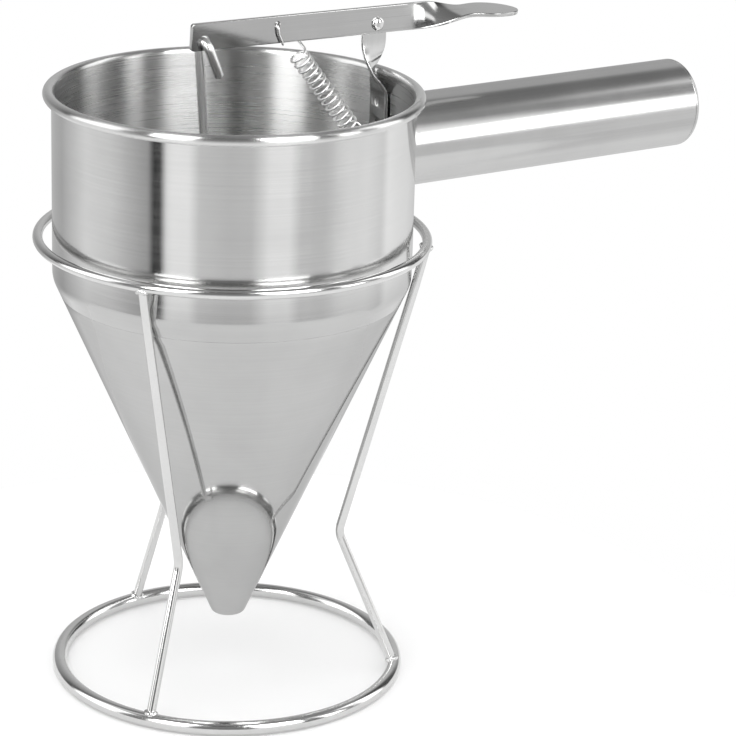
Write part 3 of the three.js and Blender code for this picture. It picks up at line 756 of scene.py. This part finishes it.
def bowl_wall():
    """Wall with its open rolled rim, its rounded shoulder and its skirt."""
    roll = (BORE_RADIUS + RIM_ROLL_RADIUS, RIM_HEIGHT)
    lip = (roll[0], roll[1] - RIM_ROLL_RADIUS + SHEET / 2)
    outer = Vector(on_cone(SKIRT_RISE, 0))
    down = Vector((sin(CONE_ANGLE), cos(CONE_ANGLE)))
    profile = [
        on_cone(SKIRT_RISE, SHEET),
        *arc(SHOULDER_CENTRE, SHOULDER_RADIUS - SHEET, -CONE_ANGLE, 0, 16),
        *arc(roll, RIM_ROLL_RADIUS, pi, -QUARTER_TURN, 54),
        *arc(lip, SHEET / 2, -QUARTER_TURN, -3 * QUARTER_TURN, 10)[1:-1],
        *arc(roll, RIM_ROLL_RADIUS - SHEET, -QUARTER_TURN, pi, 40),
        *arc(SHOULDER_CENTRE, SHOULDER_RADIUS, 0, -CONE_ANGLE, 16),
        tuple(outer + down * SEAM_EDGE),
        tuple(outer + down * SEAM_MIDDLE - Vector((SEAM_MIDDLE, 0))),
        on_cone(SKIRT_RISE, SEAM_EDGE),
    ]
    wall = revolved("bowl_wall_smooth", fine(profile), AROUND_BOWL)
    dress(wall, "funnel", "wall_steel", "bowl_wall")


def funnel_cone():
    top_rise = SKIRT_RISE - SEAM_GAP
    lip = (
        OUTLET_RADIUS + OUTLET_LIP_RADIUS * (tan(CONE_ANGLE) - 1 / cos(CONE_ANGLE)),
        OUTLET_HEIGHT + OUTLET_LIP_RADIUS,
    )
    bore_edge = OUTLET_BORE + BORE_EDGE
    profile = [
        on_cone(top_rise, SEAM_EDGE),
        on_cone(top_rise - SEAM_MIDDLE, SEAM_MIDDLE),
        on_cone(top_rise - SEAM_EDGE, 0),
        *arc(lip, OUTLET_LIP_RADIUS, -CONE_ANGLE, -QUARTER_TURN, 20),
        *arc((bore_edge, OUTLET_HEIGHT + BORE_EDGE), BORE_EDGE, -QUARTER_TURN, -pi, 6),
        *arc((bore_edge, OUTLET_HEIGHT + SHEET - BORE_EDGE), BORE_EDGE, pi, QUARTER_TURN, 6),
        *arc(lip, OUTLET_LIP_RADIUS - SHEET, -QUARTER_TURN, -CONE_ANGLE, 12),
        on_cone(top_rise, SHEET),
    ]
    cone = revolved("funnel_cone_smooth", fine(profile), AROUND_BOWL)
    dress(cone, "funnel", "cone_steel", "funnel_cone")


def handle_tube():
    """Tube whose root follows the bowl; rows run out to the end cap and back along the bore."""
    end = HANDLE_REACH - CAP_FLANGE - CAP_GAP
    bore = HANDLE_RADIUS - HANDLE_WALL
    at_end = None
    loops = [(HANDLE_RADIUS, i / TUBE_ROWS) for i in range(TUBE_ROWS + 1)]
    loops += [(HANDLE_RADIUS - TUBE_EDGE, at_end), (bore, at_end)]
    loops += [(bore, 1 - i / BORE_ROWS) for i in range(BORE_ROWS + 1)]
    vertices = []
    for radius, share in loops:
        for angle in turns(AROUND_TUBE):
            y, z = polar(radius, angle)
            root = sqrt(BOWL_RADIUS ** 2 - y * y)
            last = end - (TUBE_EDGE if radius == HANDLE_RADIUS else 0)
            x = end if share is at_end else root + (last - root) * share
            vertices.append((x, y, HANDLE_HEIGHT + z))
    tube = new_object("handle_tube_smooth", vertices, quads(len(loops), AROUND_TUBE))
    face_out(tube)
    shade(tube)
    dress(tube, "funnel", "handle_steel", "handle_tube")


def handle_weld():
    """Thin weld round the root of the handle."""
    path = []
    for angle in turns(2 * AROUND_TUBE):
        y, z = polar(HANDLE_RADIUS + HANDLE_WELD_OUT, angle)
        path.append((sqrt(BOWL_RADIUS ** 2 - y * y), y, HANDLE_HEIGHT + z))
    weld = wire("handle_weld", path, HANDLE_WELD_RADIUS, "weld_steel", WELD_SIDES, closed=True)
    dress(weld, "funnel", "handle_steel", finish="weld_steel")


def handle_end_cap():
    """Pressed cap with a dished end and a spigot that stands in the tube."""
    spigot = HANDLE_RADIUS - HANDLE_WALL - CLEARANCE
    dish = CAP_FLANGE - CAP_DISH
    corners = [  # radius, height and rounding
        (0, dish, 0),
        (spigot - CAP_WALL, dish, CAP_DISH_ROUNDING),
        (spigot, CAP_FLANGE, CAP_CREST_ROUNDING),
        (HANDLE_RADIUS, CAP_FLANGE, CAP_EDGE_RADIUS),
        (HANDLE_RADIUS, 0, TUBE_EDGE),
        (spigot, 0, 0),
        (spigot, -CAP_SPIGOT, CAP_INNER_EDGE),
        (spigot - CAP_WALL, -CAP_SPIGOT, CAP_INNER_EDGE),
        (spigot - CAP_WALL, dish - CAP_WALL, CAP_INNER_EDGE),
        (0, dish - CAP_WALL, 0),
    ]
    path = [Vector((radius, 0, height)) for radius, height, _ in corners]
    path = bent(path, [rounding for *_, rounding in corners[1:-1]], CAP_STEPS)
    profile = fine([(point.x, point.z) for point in path])
    centre = Vector((HANDLE_REACH - CAP_FLANGE, 0, HANDLE_HEIGHT))
    cap = revolved("handle_end_cap_smooth", profile, AROUND_TUBE, ALONG_X, centre)
    dress(cap, "funnel", "handle_steel", "handle_end_cap")


# ---- bracket, rivet and lever

def weld_mark(height):
    """Ball that presses the shallow mark of a spot weld into the plate."""
    ball = (WELD_DIMPLE ** 2 + WELD_DIMPLE_DEPTH ** 2) / (2 * WELD_DIMPLE_DEPTH)
    face = PLATE_MIDDLE - BRACKET_THICKNESS / 2
    centre = Vector((face + WELD_DIMPLE_DEPTH - ball, BRACKET_SIDE, height))
    profile = arc((0, 0), ball, -QUARTER_TURN, QUARTER_TURN, AROUND_WELD_MARK // 2)
    profile[0], profile[-1] = (0, -ball), (0, ball)
    return revolved("weld_mark", profile, AROUND_WELD_MARK, UPRIGHT, centre)


def pivot_bracket():
    """Strip with a round top, twisted a quarter turn, then flat on the wall and bent into a lug."""
    stations = []
    half = BRACKET_WIDTH / 2
    crown_steps, crown_edge_steps, twist_steps, plate_steps = 26, 3, 60, 13

    def station(x, z, angle=QUARTER_TURN, half=half, inset=0):
        stations.append((Vector((x, BRACKET_SIDE, z)), Vector((*polar(1, angle), 0)), half, inset))

    for i in range(crown_steps + 1):
        angle = BRACKET_CROWN * QUARTER_TURN * (1 - i / crown_steps)
        rise, extra = half * sin(angle), BRACKET_CROWN_EXTRA * (i < crown_edge_steps)
        inset = BRACKET_EDGE * max(0, 1 - i / crown_edge_steps)
        station(PIVOT.x, PIVOT.z + rise, 0, half * cos(angle) + extra, inset)
    for i in range(twist_steps + 1):
        share = i / twist_steps
        lean = BRACKET_LEAN * smooth((share - BRACKET_LEAN_START) / (1 - BRACKET_LEAN_START))
        fall = BRACKET_TWIST_TOP + BRACKET_TWIST_LENGTH * share
        station(PIVOT.x + lean, PIVOT.z - fall, QUARTER_TURN * smooth(share))
    for i in range(1, plate_steps):
        station(PLATE_MIDDLE, BEND_TOP + BRACKET_PLATE * (1 - i / plate_steps))
    for angle in quarter(BEND_STEPS):
        x, z = polar(LUG_BEND, angle)
        station(PLATE_MIDDLE - (LUG_BEND - x), BEND_TOP - z)
    for share in (1, 0.6, 0.25, 0):
        inset = BRACKET_EDGE * (1 - sqrt(share * (2 - share)))
        station(LUG_END + BRACKET_EDGE * share, BEND_TOP - LUG_BEND, inset=inset)
    holes = [
        drill(PIVOT + Vector((0, BRACKET_SIDE, 0)), RIVET_SHANK + SHANK_PLAY, BRACKET_THICKNESS),
        drill(SPRING_FOOT, LUG_HOLE, BRACKET_THICKNESS, UPRIGHT),
    ]
    marks = [weld_mark(BEND_TOP + BRACKET_PLATE * (1 - share)) for share in WELD_SHARES]
    bracket = strip("pivot_bracket_smooth", stations, BRACKET_THICKNESS, BRACKET_EDGE, holes + marks)
    dress(bracket, "funnel", "bracket_steel", "pivot_bracket")


def pivot_rivet():
    """Rivet with a domed head on each side."""
    front = -LEVER_THICKNESS / 2 - RIVET_GAP
    back = BRACKET_SIDE + BRACKET_THICKNESS / 2 + RIVET_GAP
    dome = RIVET_HEAD_HEIGHT - RIVET_HEAD_SKIRT

    def head(face, side):
        points = [
            (RIVET_HEAD_RADIUS * sin(angle), face + side * (RIVET_HEAD_SKIRT + dome * cos(angle)))
            for angle in quarter(RIVET_STEPS)
        ]
        return [*points, (RIVET_HEAD_RADIUS, face)]

    profile = [*head(front, -1), (RIVET_SHANK, front), (RIVET_SHANK, back), *head(back, 1)[::-1]]
    rivet = revolved("pivot_rivet_smooth", profile, AROUND_SMALL, ALONG_Y_MIRRORED, PIVOT)
    dress(rivet, "funnel", "rivet_steel", "pivot_rivet")


def lever():
    """Strip on edge with a rounded end, twisted into a leaf-shaped thumb pad."""
    end_steps, straight_steps, twist_steps, pad_steps = 10, 24, 64, 56
    straight_start = -LEVER_TAIL + LEVER_END_ROUNDING
    twist_end = TWIST_START + TWIST_LENGTH
    pad_start = twist_end - PAD_OVERLAP
    pad_end = twist_end + PAD_LENGTH

    def across(angle):
        return Vector((0, sin(angle), cos(angle)))

    def lean(reach):
        return LEVER_LEAN * max(1 - (reach + LEVER_TAIL) / LEVER_LEAN_REACH, 0)

    def leaf(reach):
        """Station on the twist or the pad, which widens and then closes like a leaf."""
        twist = smooth((reach - TWIST_START) / TWIST_LENGTH)
        share = min(max((reach - pad_start) / (pad_end - pad_start), 0), 1)
        if share < 0.5:
            half = LEVER_HEIGHT / 2 + (PAD_WIDTH - LEVER_HEIGHT) / 2 * smooth(2 * share)
        else:
            half = PAD_WIDTH / 2 * sqrt(1 - (PAD_TIP * (2 * share - 1)) ** 2)
        centre = Vector((reach, 0, LEVER_MIDDLE - PAD_DROOP * share * share))
        return centre, across(TWIST_ANGLE * twist), half, 0

    stations = []
    for angle in quarter(end_steps):
        centre = Vector((LEVER_END_ROUNDING * (1 - cos(angle)) - LEVER_TAIL, 0, LEVER_MIDDLE))
        half = LEVER_HEIGHT / 2 - LEVER_END_ROUNDING * (1 - sin(angle))
        depth = max(centre.x + LEVER_TAIL, 0)
        inset = LEVER_EDGE - sqrt(LEVER_EDGE ** 2 - max(LEVER_EDGE - depth, 0) ** 2)
        stations.append((centre, across(lean(centre.x)), half, inset))
    for i in range(1, straight_steps):
        reach = straight_start + (TWIST_START - straight_start) * i / straight_steps
        stations.append((Vector((reach, 0, LEVER_MIDDLE)), across(lean(reach)), LEVER_HEIGHT / 2, 0))
    stations += [leaf(TWIST_START + TWIST_LENGTH * i / twist_steps) for i in range(twist_steps + 1)]
    stations += [leaf(twist_end + PAD_LENGTH * sin(angle)) for angle in quarter(pad_steps)[1:]]
    stations = [
        (PIVOT + TILT @ (centre - PIVOT), TILT @ way, half, inset) for centre, way, half, inset in stations
    ]
    holes = [
        drill(PIVOT, RIVET_SHANK + SHANK_PLAY, LEVER_THICKNESS),
        drill(HOOK_POINT, HOOK_HOLE, LEVER_THICKNESS),
        drill(SPRING_HEAD, SPRING_HOLE, LEVER_THICKNESS),
    ]
    blade = strip("lever_smooth", stations, LEVER_THICKNESS, LEVER_EDGE, holes)
    dress(blade, "lever", "lever_steel", "lever")


# ---- rod, stopper and spring

SEAT_DEPTH = SHEET + CLEARANCE
SEAT_RISE = (STOPPER_RADIUS + SEAT_DEPTH * cos(CONE_ANGLE) - OUTLET_RADIUS) / tan(CONE_ANGLE)
STOPPER_SEAT = on_cone(SEAT_RISE, SEAT_DEPTH)
STOPPER_FOOT = on_cone(OUTLET_LIP_RADIUS, SEAT_DEPTH)
STOPPER_TOP = STOPPER_SEAT[1] + STOPPER_BODY + STOPPER_RADIUS - STOPPER_NECK
SOCKET_FLOOR = STOPPER_TOP - STOPPER_SOCKET


def lift_rod():
    """Rod that stands in the stopper and hooks through the lever; its short end hangs in front."""
    off = LEVER_THICKNESS / 2 + ROD_PLAY + ROD_RADIUS
    front = HOOK_POINT + Vector((0, -off, 0))
    tail = Vector((sin(HOOK_TAIL_ANGLE), 0, -cos(HOOK_TAIL_ANGLE)))
    corners = [
        Vector((0, 0, SOCKET_FLOOR + CLEARANCE)),
        Vector((0, 0, SOCKET_FLOOR + ROD_FOOT)),
        HOOK_POINT + Vector((0, off, 0)),
        front,
        front + tail * (off + HOOK_TAIL),
    ]
    points = bent(corners, [ROD_FOOT, off, off], HOOK_STEPS)
    rod = wire("lift_rod_smooth", points, ROD_RADIUS, "rod_steel", domed=False)
    dress(rod, "rod", "rod_steel", "lift_rod")


def stopper():
    """Plug that sits in the cone above the outlet, with a socket for the rod."""
    top_edge = (STOPPER_NECK, STOPPER_SEAT[1] + STOPPER_BODY)
    socket = ROD_RADIUS + CLEARANCE
    profile = [
        (0, STOPPER_FOOT[1]),
        (STOPPER_FOOT[0] - STOPPER_EDGE, STOPPER_FOOT[1]),
        STOPPER_FOOT,
        STOPPER_SEAT,
        (STOPPER_RADIUS, STOPPER_SEAT[1] + STOPPER_BODY),
        *arc(top_edge, STOPPER_RADIUS - STOPPER_NECK, QUARTER_TURN / 4, QUARTER_TURN, 14),
        (socket, STOPPER_TOP),
        (socket, SOCKET_FLOOR),
        (0, SOCKET_FLOOR),
    ]
    plug = revolved("stopper_smooth", fine(profile), AROUND_STOPPER)
    dress(plug, "rod", "stopper_steel", "stopper")


def return_spring():
    """Coil between the lever and the lug, with a long hook at its head and a loop at its foot."""
    off = LEVER_THICKNESS / 2 + ROD_PLAY + SPRING_WIRE
    axis = SPRING_FOOT - SPRING_HEAD
    axis.y = 0
    axis.normalize()
    sideways = Vector((0, 1, 0))
    upward = axis.cross(sideways)
    coil_start = SPRING_HEAD + axis * SPRING_HOOK

    def on_coil(turn):
        angle = FULL_TURN * turn
        return (coil_start + axis * SPRING_BODY * turn / SPRING_TURNS
                + (upward * cos(angle) - sideways * sin(angle)) * SPRING_RADIUS)

    def coil_way(turn):
        return (on_coil(turn + 0.01) - on_coil(turn - 0.01)).normalized()

    sway = HOOK_SWAY * HOOK_SIDE_STEP
    hook = [
        (HOOK_SIDE_STEP, -off, -HOOK_DROP), (sway, -off, -0.5 * HOOK_DROP), (-sway, -off, 0),
        (0, off, 0), (HOOK_REACH, off, -HOOK_FALL),
    ]
    upper = bent([*(SPRING_HEAD + Vector(place) for place in hook), on_coil(0)], [off] * 4)
    upper.pop()
    leg = (on_coil(0) - upper[-1]).normalized()
    upper += between(upper[-1], leg * UPPER_EASE, on_coil(SPRING_LEAD), coil_way(SPRING_LEAD) * UPPER_EASE)

    full = SPRING_TURNS - 2 * SPRING_LEAD
    steps = int(SPRING_STEPS * full)
    coil = [on_coil(SPRING_LEAD + full * i / steps) for i in range(steps + 1)]

    under = BRACKET_THICKNESS / 2 + CLEARANCE + SPRING_WIRE
    loop = LUG_HOLE_INSET + under
    corner = on_coil(SPRING_TURNS) + axis * SPRING_RADIUS
    foot = [(0, 0, 2 * under), (0, 0, -under), (-loop, 0, -under), (-loop, 0, under)]
    lower = bent([corner, *(SPRING_FOOT + Vector(place) for place in foot)], [under] * 3)
    leg = (lower[1] - corner).normalized()
    ending = SPRING_TURNS - SPRING_LEAD
    join = between(on_coil(ending), coil_way(ending) * LOWER_EASE, corner, leg * LOWER_EASE)

    path = [*upper, *coil, *join, *lower]
    spring = wire("return_spring_smooth", path, SPRING_WIRE, "spring_steel", SPRING_SIDES)
    put_on(spring, "spring_steel")
    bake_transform(spring)
    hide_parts("return_spring")


# ---- stand

def stand_ring(label, radius, height, wire_radius, sides):
    path = [(*polar(radius, angle), height) for angle in turns(AROUND_BOWL)]
    ring = wire(f"stand_{label}_ring_smooth", path, wire_radius, "wire_steel", sides, closed=True)
    dress(ring, "stand", "wire_steel", f"stand_{label}_ring")


def stand_leg(label, azimuth):
    """Leg bent round the bowl's shoulder and at its knee; returns its corners."""
    lean = atan((TOP_RING_RADIUS - KNEE_RADIUS) / (RING_HEIGHT - KNEE_HEIGHT))
    rest = min(max(lean, 0), CONE_ANGLE)
    out, rise = polar(SHOULDER_RADIUS + CLEARANCE + LEG_WIRE, rest)
    turn = Matrix.Rotation(radians(azimuth), 3, "Z")
    corners = [
        turn @ Vector((radius, 0, height)) for radius, height in (
            (TOP_RING_RADIUS, RING_HEIGHT),
            (SHOULDER_CENTRE[0] + out, SHOULDER_CENTRE[1] - rise),
            (KNEE_RADIUS, KNEE_HEIGHT),
            (BASE_RADIUS, BASE_HEIGHT),
        )
    ]
    points = bent(corners, [SHOULDER_RADIUS, KNEE_BEND], LEG_STEPS)
    leg = wire(f"stand_leg_{label}_smooth", points, LEG_WIRE, "wire_steel")
    dress(leg, "stand", "wire_steel", f"stand_leg_{label}")
    return corners


def leg_welds(legs):
    """Weld metal where each leg meets its rings: drops on the line where the two wires cross."""
    spots = []
    for top, shoulder, knee, foot in legs:
        for centre, beside, ring_wire in ((top, shoulder, RING_WIRE), (foot, knee, BASE_WIRE)):
            way = (beside - centre).normalized()
            round_ring = Vector((-centre.y, centre.x, 0)).normalized()
            third = way.cross(round_ring)
            for angle in turns(WELD_DROPS):
                spoke = (round_ring * cos(angle) + third * sin(angle)) * LEG_WIRE
                reach = sqrt(max(ring_wire ** 2 - spoke.dot(third) ** 2, 0))
                spots.append(centre + spoke * WELD_DROP_PLACE + way * reach)
    welds = new_object("stand_welds", spots, [])
    run_tree(welds, BEAD_TREE, {**WELD_BEADS, "Finish": FINISH["weld_steel"]})
    shade(welds)
    dress(welds, "stand", "wire_steel", finish="weld_steel")


bowl_wall()
funnel_cone()
handle_tube()
handle_weld()
handle_end_cap()
pivot_bracket()
pivot_rivet()
lever()
lift_rod()
stopper()
return_spring()
stand_ring("top", TOP_RING_RADIUS, RING_HEIGHT, RING_WIRE, WIRE_SIDES)
stand_ring("base", BASE_RADIUS, BASE_HEIGHT, BASE_WIRE, BASE_WIRE_SIDES)
leg_welds([stand_leg(label, azimuth) for label, azimuth in LEG_AZIMUTHS.items()])


# ---- camera, floor and light

CAMERA_PLACE = (-0.5991, -0.8860, 0.47715)
CAMERA_TURN = radians(33.882)  # round from -Y towards -X
CAMERA_FALL = radians(19.101)  # below level
CAMERA_ROLL = radians(1.692)
LENS = {"sensor_width": 36, "lens": 145.984, "clip_start": 0.05, "clip_end": 20}


def set_camera():
    data = bpy.data.cameras.new("camera")
    for key, value in LENS.items():
        setattr(data, key, value)
    camera = bpy.data.objects.new("camera", data)
    camera.matrix_world = (
        Matrix.Translation(CAMERA_PLACE) @ Matrix.Rotation(-CAMERA_TURN, 4, "Z")
        @ Matrix.Rotation(QUARTER_TURN - CAMERA_FALL, 4, "X") @ Matrix.Rotation(CAMERA_ROLL, 4, "Z")
    )
    bpy.context.scene.collection.objects.link(camera)
    bpy.context.scene.camera = camera


WHITE = (1, 1, 1, 1)
FLOOR_BEHIND = 0.2  # reach of the floor behind the object and in front of it
FLOOR_AHEAD = 0.46
FLOOR_SIDE, FLOOR_SIDE_SPAN = 80, 35  # degrees from the camera where it grows shorter, and over how many
FLOOR_CORNERS = 96
FLOOR_TONE = 0.92
FLOOR_LIFT = 0.06
# The floor that the steel mirrors is about as white as the background
FLOOR_TONE_MIRRORED = 0.5
FLOOR_LIFT_MIRRORED = 0.4


def set_floor():
    """Pale floor, long in front and short behind: white to the camera and to the steel, with the shadow."""
    vertices = []
    for angle in turns(FLOOR_CORNERS):
        turn = angle - pi
        behind = smooth((abs(degrees(turn)) - FLOOR_SIDE) / FLOOR_SIDE_SPAN)
        radius = FLOOR_AHEAD + (FLOOR_BEHIND - FLOOR_AHEAD) * behind
        ahead, side = polar(radius, turn - CAMERA_TURN)
        vertices.append((side, -ahead, 0))
    floor = new_object("floor", vertices, [tuple(range(FLOOR_CORNERS))])
    if floor.data.polygons[0].normal.z < 0:
        floor.data.flip_normals()
    material = bpy.data.materials.new("pale floor")
    floor.data.materials.append(material)
    # Seen directly it glows a little, so that it is white but for the shadow
    shader = Shader(material)
    bsdf = shader.tree.nodes["Principled BSDF"]
    bsdf.inputs["Roughness"].default_value = 1
    bsdf.inputs["Specular IOR Level"].default_value = 0
    bsdf.inputs["Emission Color"].default_value = WHITE
    seen, glossy = shader.seen()
    lift = shader.remap(glossy, 0.0, 1.0, FLOOR_LIFT, FLOOR_LIFT_MIRRORED)
    shader.surface("Base Color", shader.remap(glossy, 0.0, 1.0, FLOOR_TONE, FLOOR_TONE_MIRRORED))
    shader.surface("Emission Strength", shader.times(seen, lift))


# The studio round the object, which only the steel mirrors: grey levels over the azimuth, as
# (degrees from the camera, level), at the table, low down, at half height and high up
TABLE_BANDS = [
    (-180, 1.0), (-56, 1.0), (-50, 0.2), (-42, 0.2), (-37, 1.0), (30, 1.0), (55, 0.76), (85, 0.76),
    (110, 1.0), (180, 1.0),
]
LOW_BANDS = [
    (-180, 0.55), (-135, 0.5), (-103, 0.88), (-80, 0.76), (-52, 0.4), (-48, 0.0), (-43.5, 0.0), (-39, 0.95),
    (-35, 1.05), (-25, 1.05), (-18, 0.75), (0, 0.66), (14, 0.68), (25, 1.0), (38, 1.0), (46, 0.67),
    (62, 0.68), (80, 0.92), (95, 0.98), (110, 0.82), (117, 1.05), (145, 0.9), (165, 0.7), (180, 0.55),
]
MIDDLE_BANDS = [
    (-180, 0.58), (-135, 0.3), (-112, 0.05), (-106, 1.9), (-72, 1.9), (-66, 0.3), (-50, 0.15), (-46, 1.2),
    (-22, 1.2), (-19, 0.2), (19, 0.2), (23, 1.2), (50, 1.2), (53, 0.1), (66, 0.1), (69, 1.4), (75, 1.4),
    (78, 0.25), (94, 0.4), (100, 2.0), (118, 2.0), (122, 0.05), (140, 0.1), (160, 0.58), (180, 0.58),
]
HIGH_BANDS = [
    (-180, 0.2), (-125, 0.25), (-115, 0.8), (-95, 0.8), (-80, 0.25), (-48, 0.2), (-44, 0.9), (-24, 0.9),
    (-18, 0.1), (19, 0.1), (23, 0.9), (50, 0.9), (54, 0.25), (70, 0.3), (110, 0.25), (180, 0.2),
]
OVERHEAD_BANDS = [(-180, 0.28), (180, 0.28)]
# Each layer takes over from the one below it between two heights, from -1, straight down, to 1, straight up
LAYERS = (
    (-0.5, -0.38, LOW_BANDS), (-0.1, 0.05, MIDDLE_BANDS),
    (0.68, 0.76, HIGH_BANDS), (0.88, 0.93, OVERHEAD_BANDS),
)
EVEN_LIGHT = 1.08  # strength of the plain white light that falls on everything


def ramp(shader, value, stops):
    """Grey bands over the azimuth, from -180 to 180 degrees."""
    node = shader.add("ShaderNodeValToRGB", [("Fac", value)])
    elements = node.color_ramp.elements
    elements[0].color = (*[stops[0][1]] * 3, 1)
    elements[1].color = (*[stops[-1][1]] * 3, 1)
    for place, level in stops[1:-1]:
        elements.new(place / 360 + 0.5).color = (level, level, level, 1)
    return node


def set_world():
    """White to the camera, with darker and brighter bands round the object that only the steel mirrors."""
    world = bpy.data.worlds.new("studio")
    bpy.context.scene.world = world
    shader = Shader(world)
    shader.tree.nodes.clear()
    way = shader.add("ShaderNodeTexCoord").outputs["Generated"]
    turned = shader.add("ShaderNodeMapping", [("Vector", way), ("Rotation", (0, 0, CAMERA_TURN))])
    x, y, z = shader.add("ShaderNodeSeparateXYZ", [(0, turned)]).outputs
    azimuth = shader.math("ARCTAN2", x, shader.times(y, -1.0))
    share = shader.math("MULTIPLY_ADD", azimuth, 1 / FULL_TURN, 0.5)
    cards = ramp(shader, share, TABLE_BANDS)
    for start, end, bands in LAYERS:
        cards = shader.mix(shader.remap(z, start, end), cards, ramp(shader, share, bands))
    seen, glossy = shader.seen()
    cards = shader.mix(glossy, WHITE, cards)
    mirrored = shader.add("ShaderNodeBackground", [("Color", cards), ("Strength", 1.0)])
    even = shader.add("ShaderNodeBackground", [("Color", WHITE), ("Strength", EVEN_LIGHT)])
    mixed = shader.add("ShaderNodeMixShader", [(0, seen), (1, even), (2, mirrored)])
    shader.add("ShaderNodeOutputWorld", [("Surface", mixed)])


def set_lamp(name, azimuth, elevation, distance, width, height, power, aim):
    """Soft lamp that only the steel mirrors, but for the one overhead, which lights the floor alone."""
    data = bpy.data.lights.new(name, "AREA")
    data.shape = "RECTANGLE"
    data.size = width
    data.size_y = height
    data.energy = power
    lamp = bpy.data.objects.new(name, data)
    level, rise = polar(1, radians(elevation))
    ahead, side = polar(level, radians(azimuth) - CAMERA_TURN)
    away = Vector((side, -ahead, rise))
    lamp.location = aim + away * distance
    lamp.rotation_euler = away.to_track_quat("Z", "Y").to_euler()
    lamp.visible_diffuse = name == "overhead"
    lamp.visible_glossy = name != "overhead"
    bpy.context.scene.collection.objects.link(lamp)


BOWL_MIDDLE = Vector((AXIS_X, 0, 0.2))
HANDLE_MIDDLE = Vector((0.05, 0, 0.195))
# Name, azimuth from the camera and elevation in degrees, distance, width, height, watts and aim
LAMPS = (
    ("right_strip", 37.5, 30, 1.3, 0.64, 0.95, 12, BOWL_MIDDLE),
    ("left_strip", -35, 30, 1.3, 0.5, 0.95, 9.2, BOWL_MIDDLE),
    ("side_softbox", 70, 12, 1.3, 0.34, 0.5, 1.4, HANDLE_MIDDLE),
    ("overhead", 0, 90, 2.0, 1.3, 1.3, 12, BOWL_MIDDLE),
)

set_camera()
set_floor()
set_world()
for lamp_row in LAMPS:
    set_lamp(*lamp_row)

view = bpy.context.scene.view_settings
view.view_transform = "Standard"
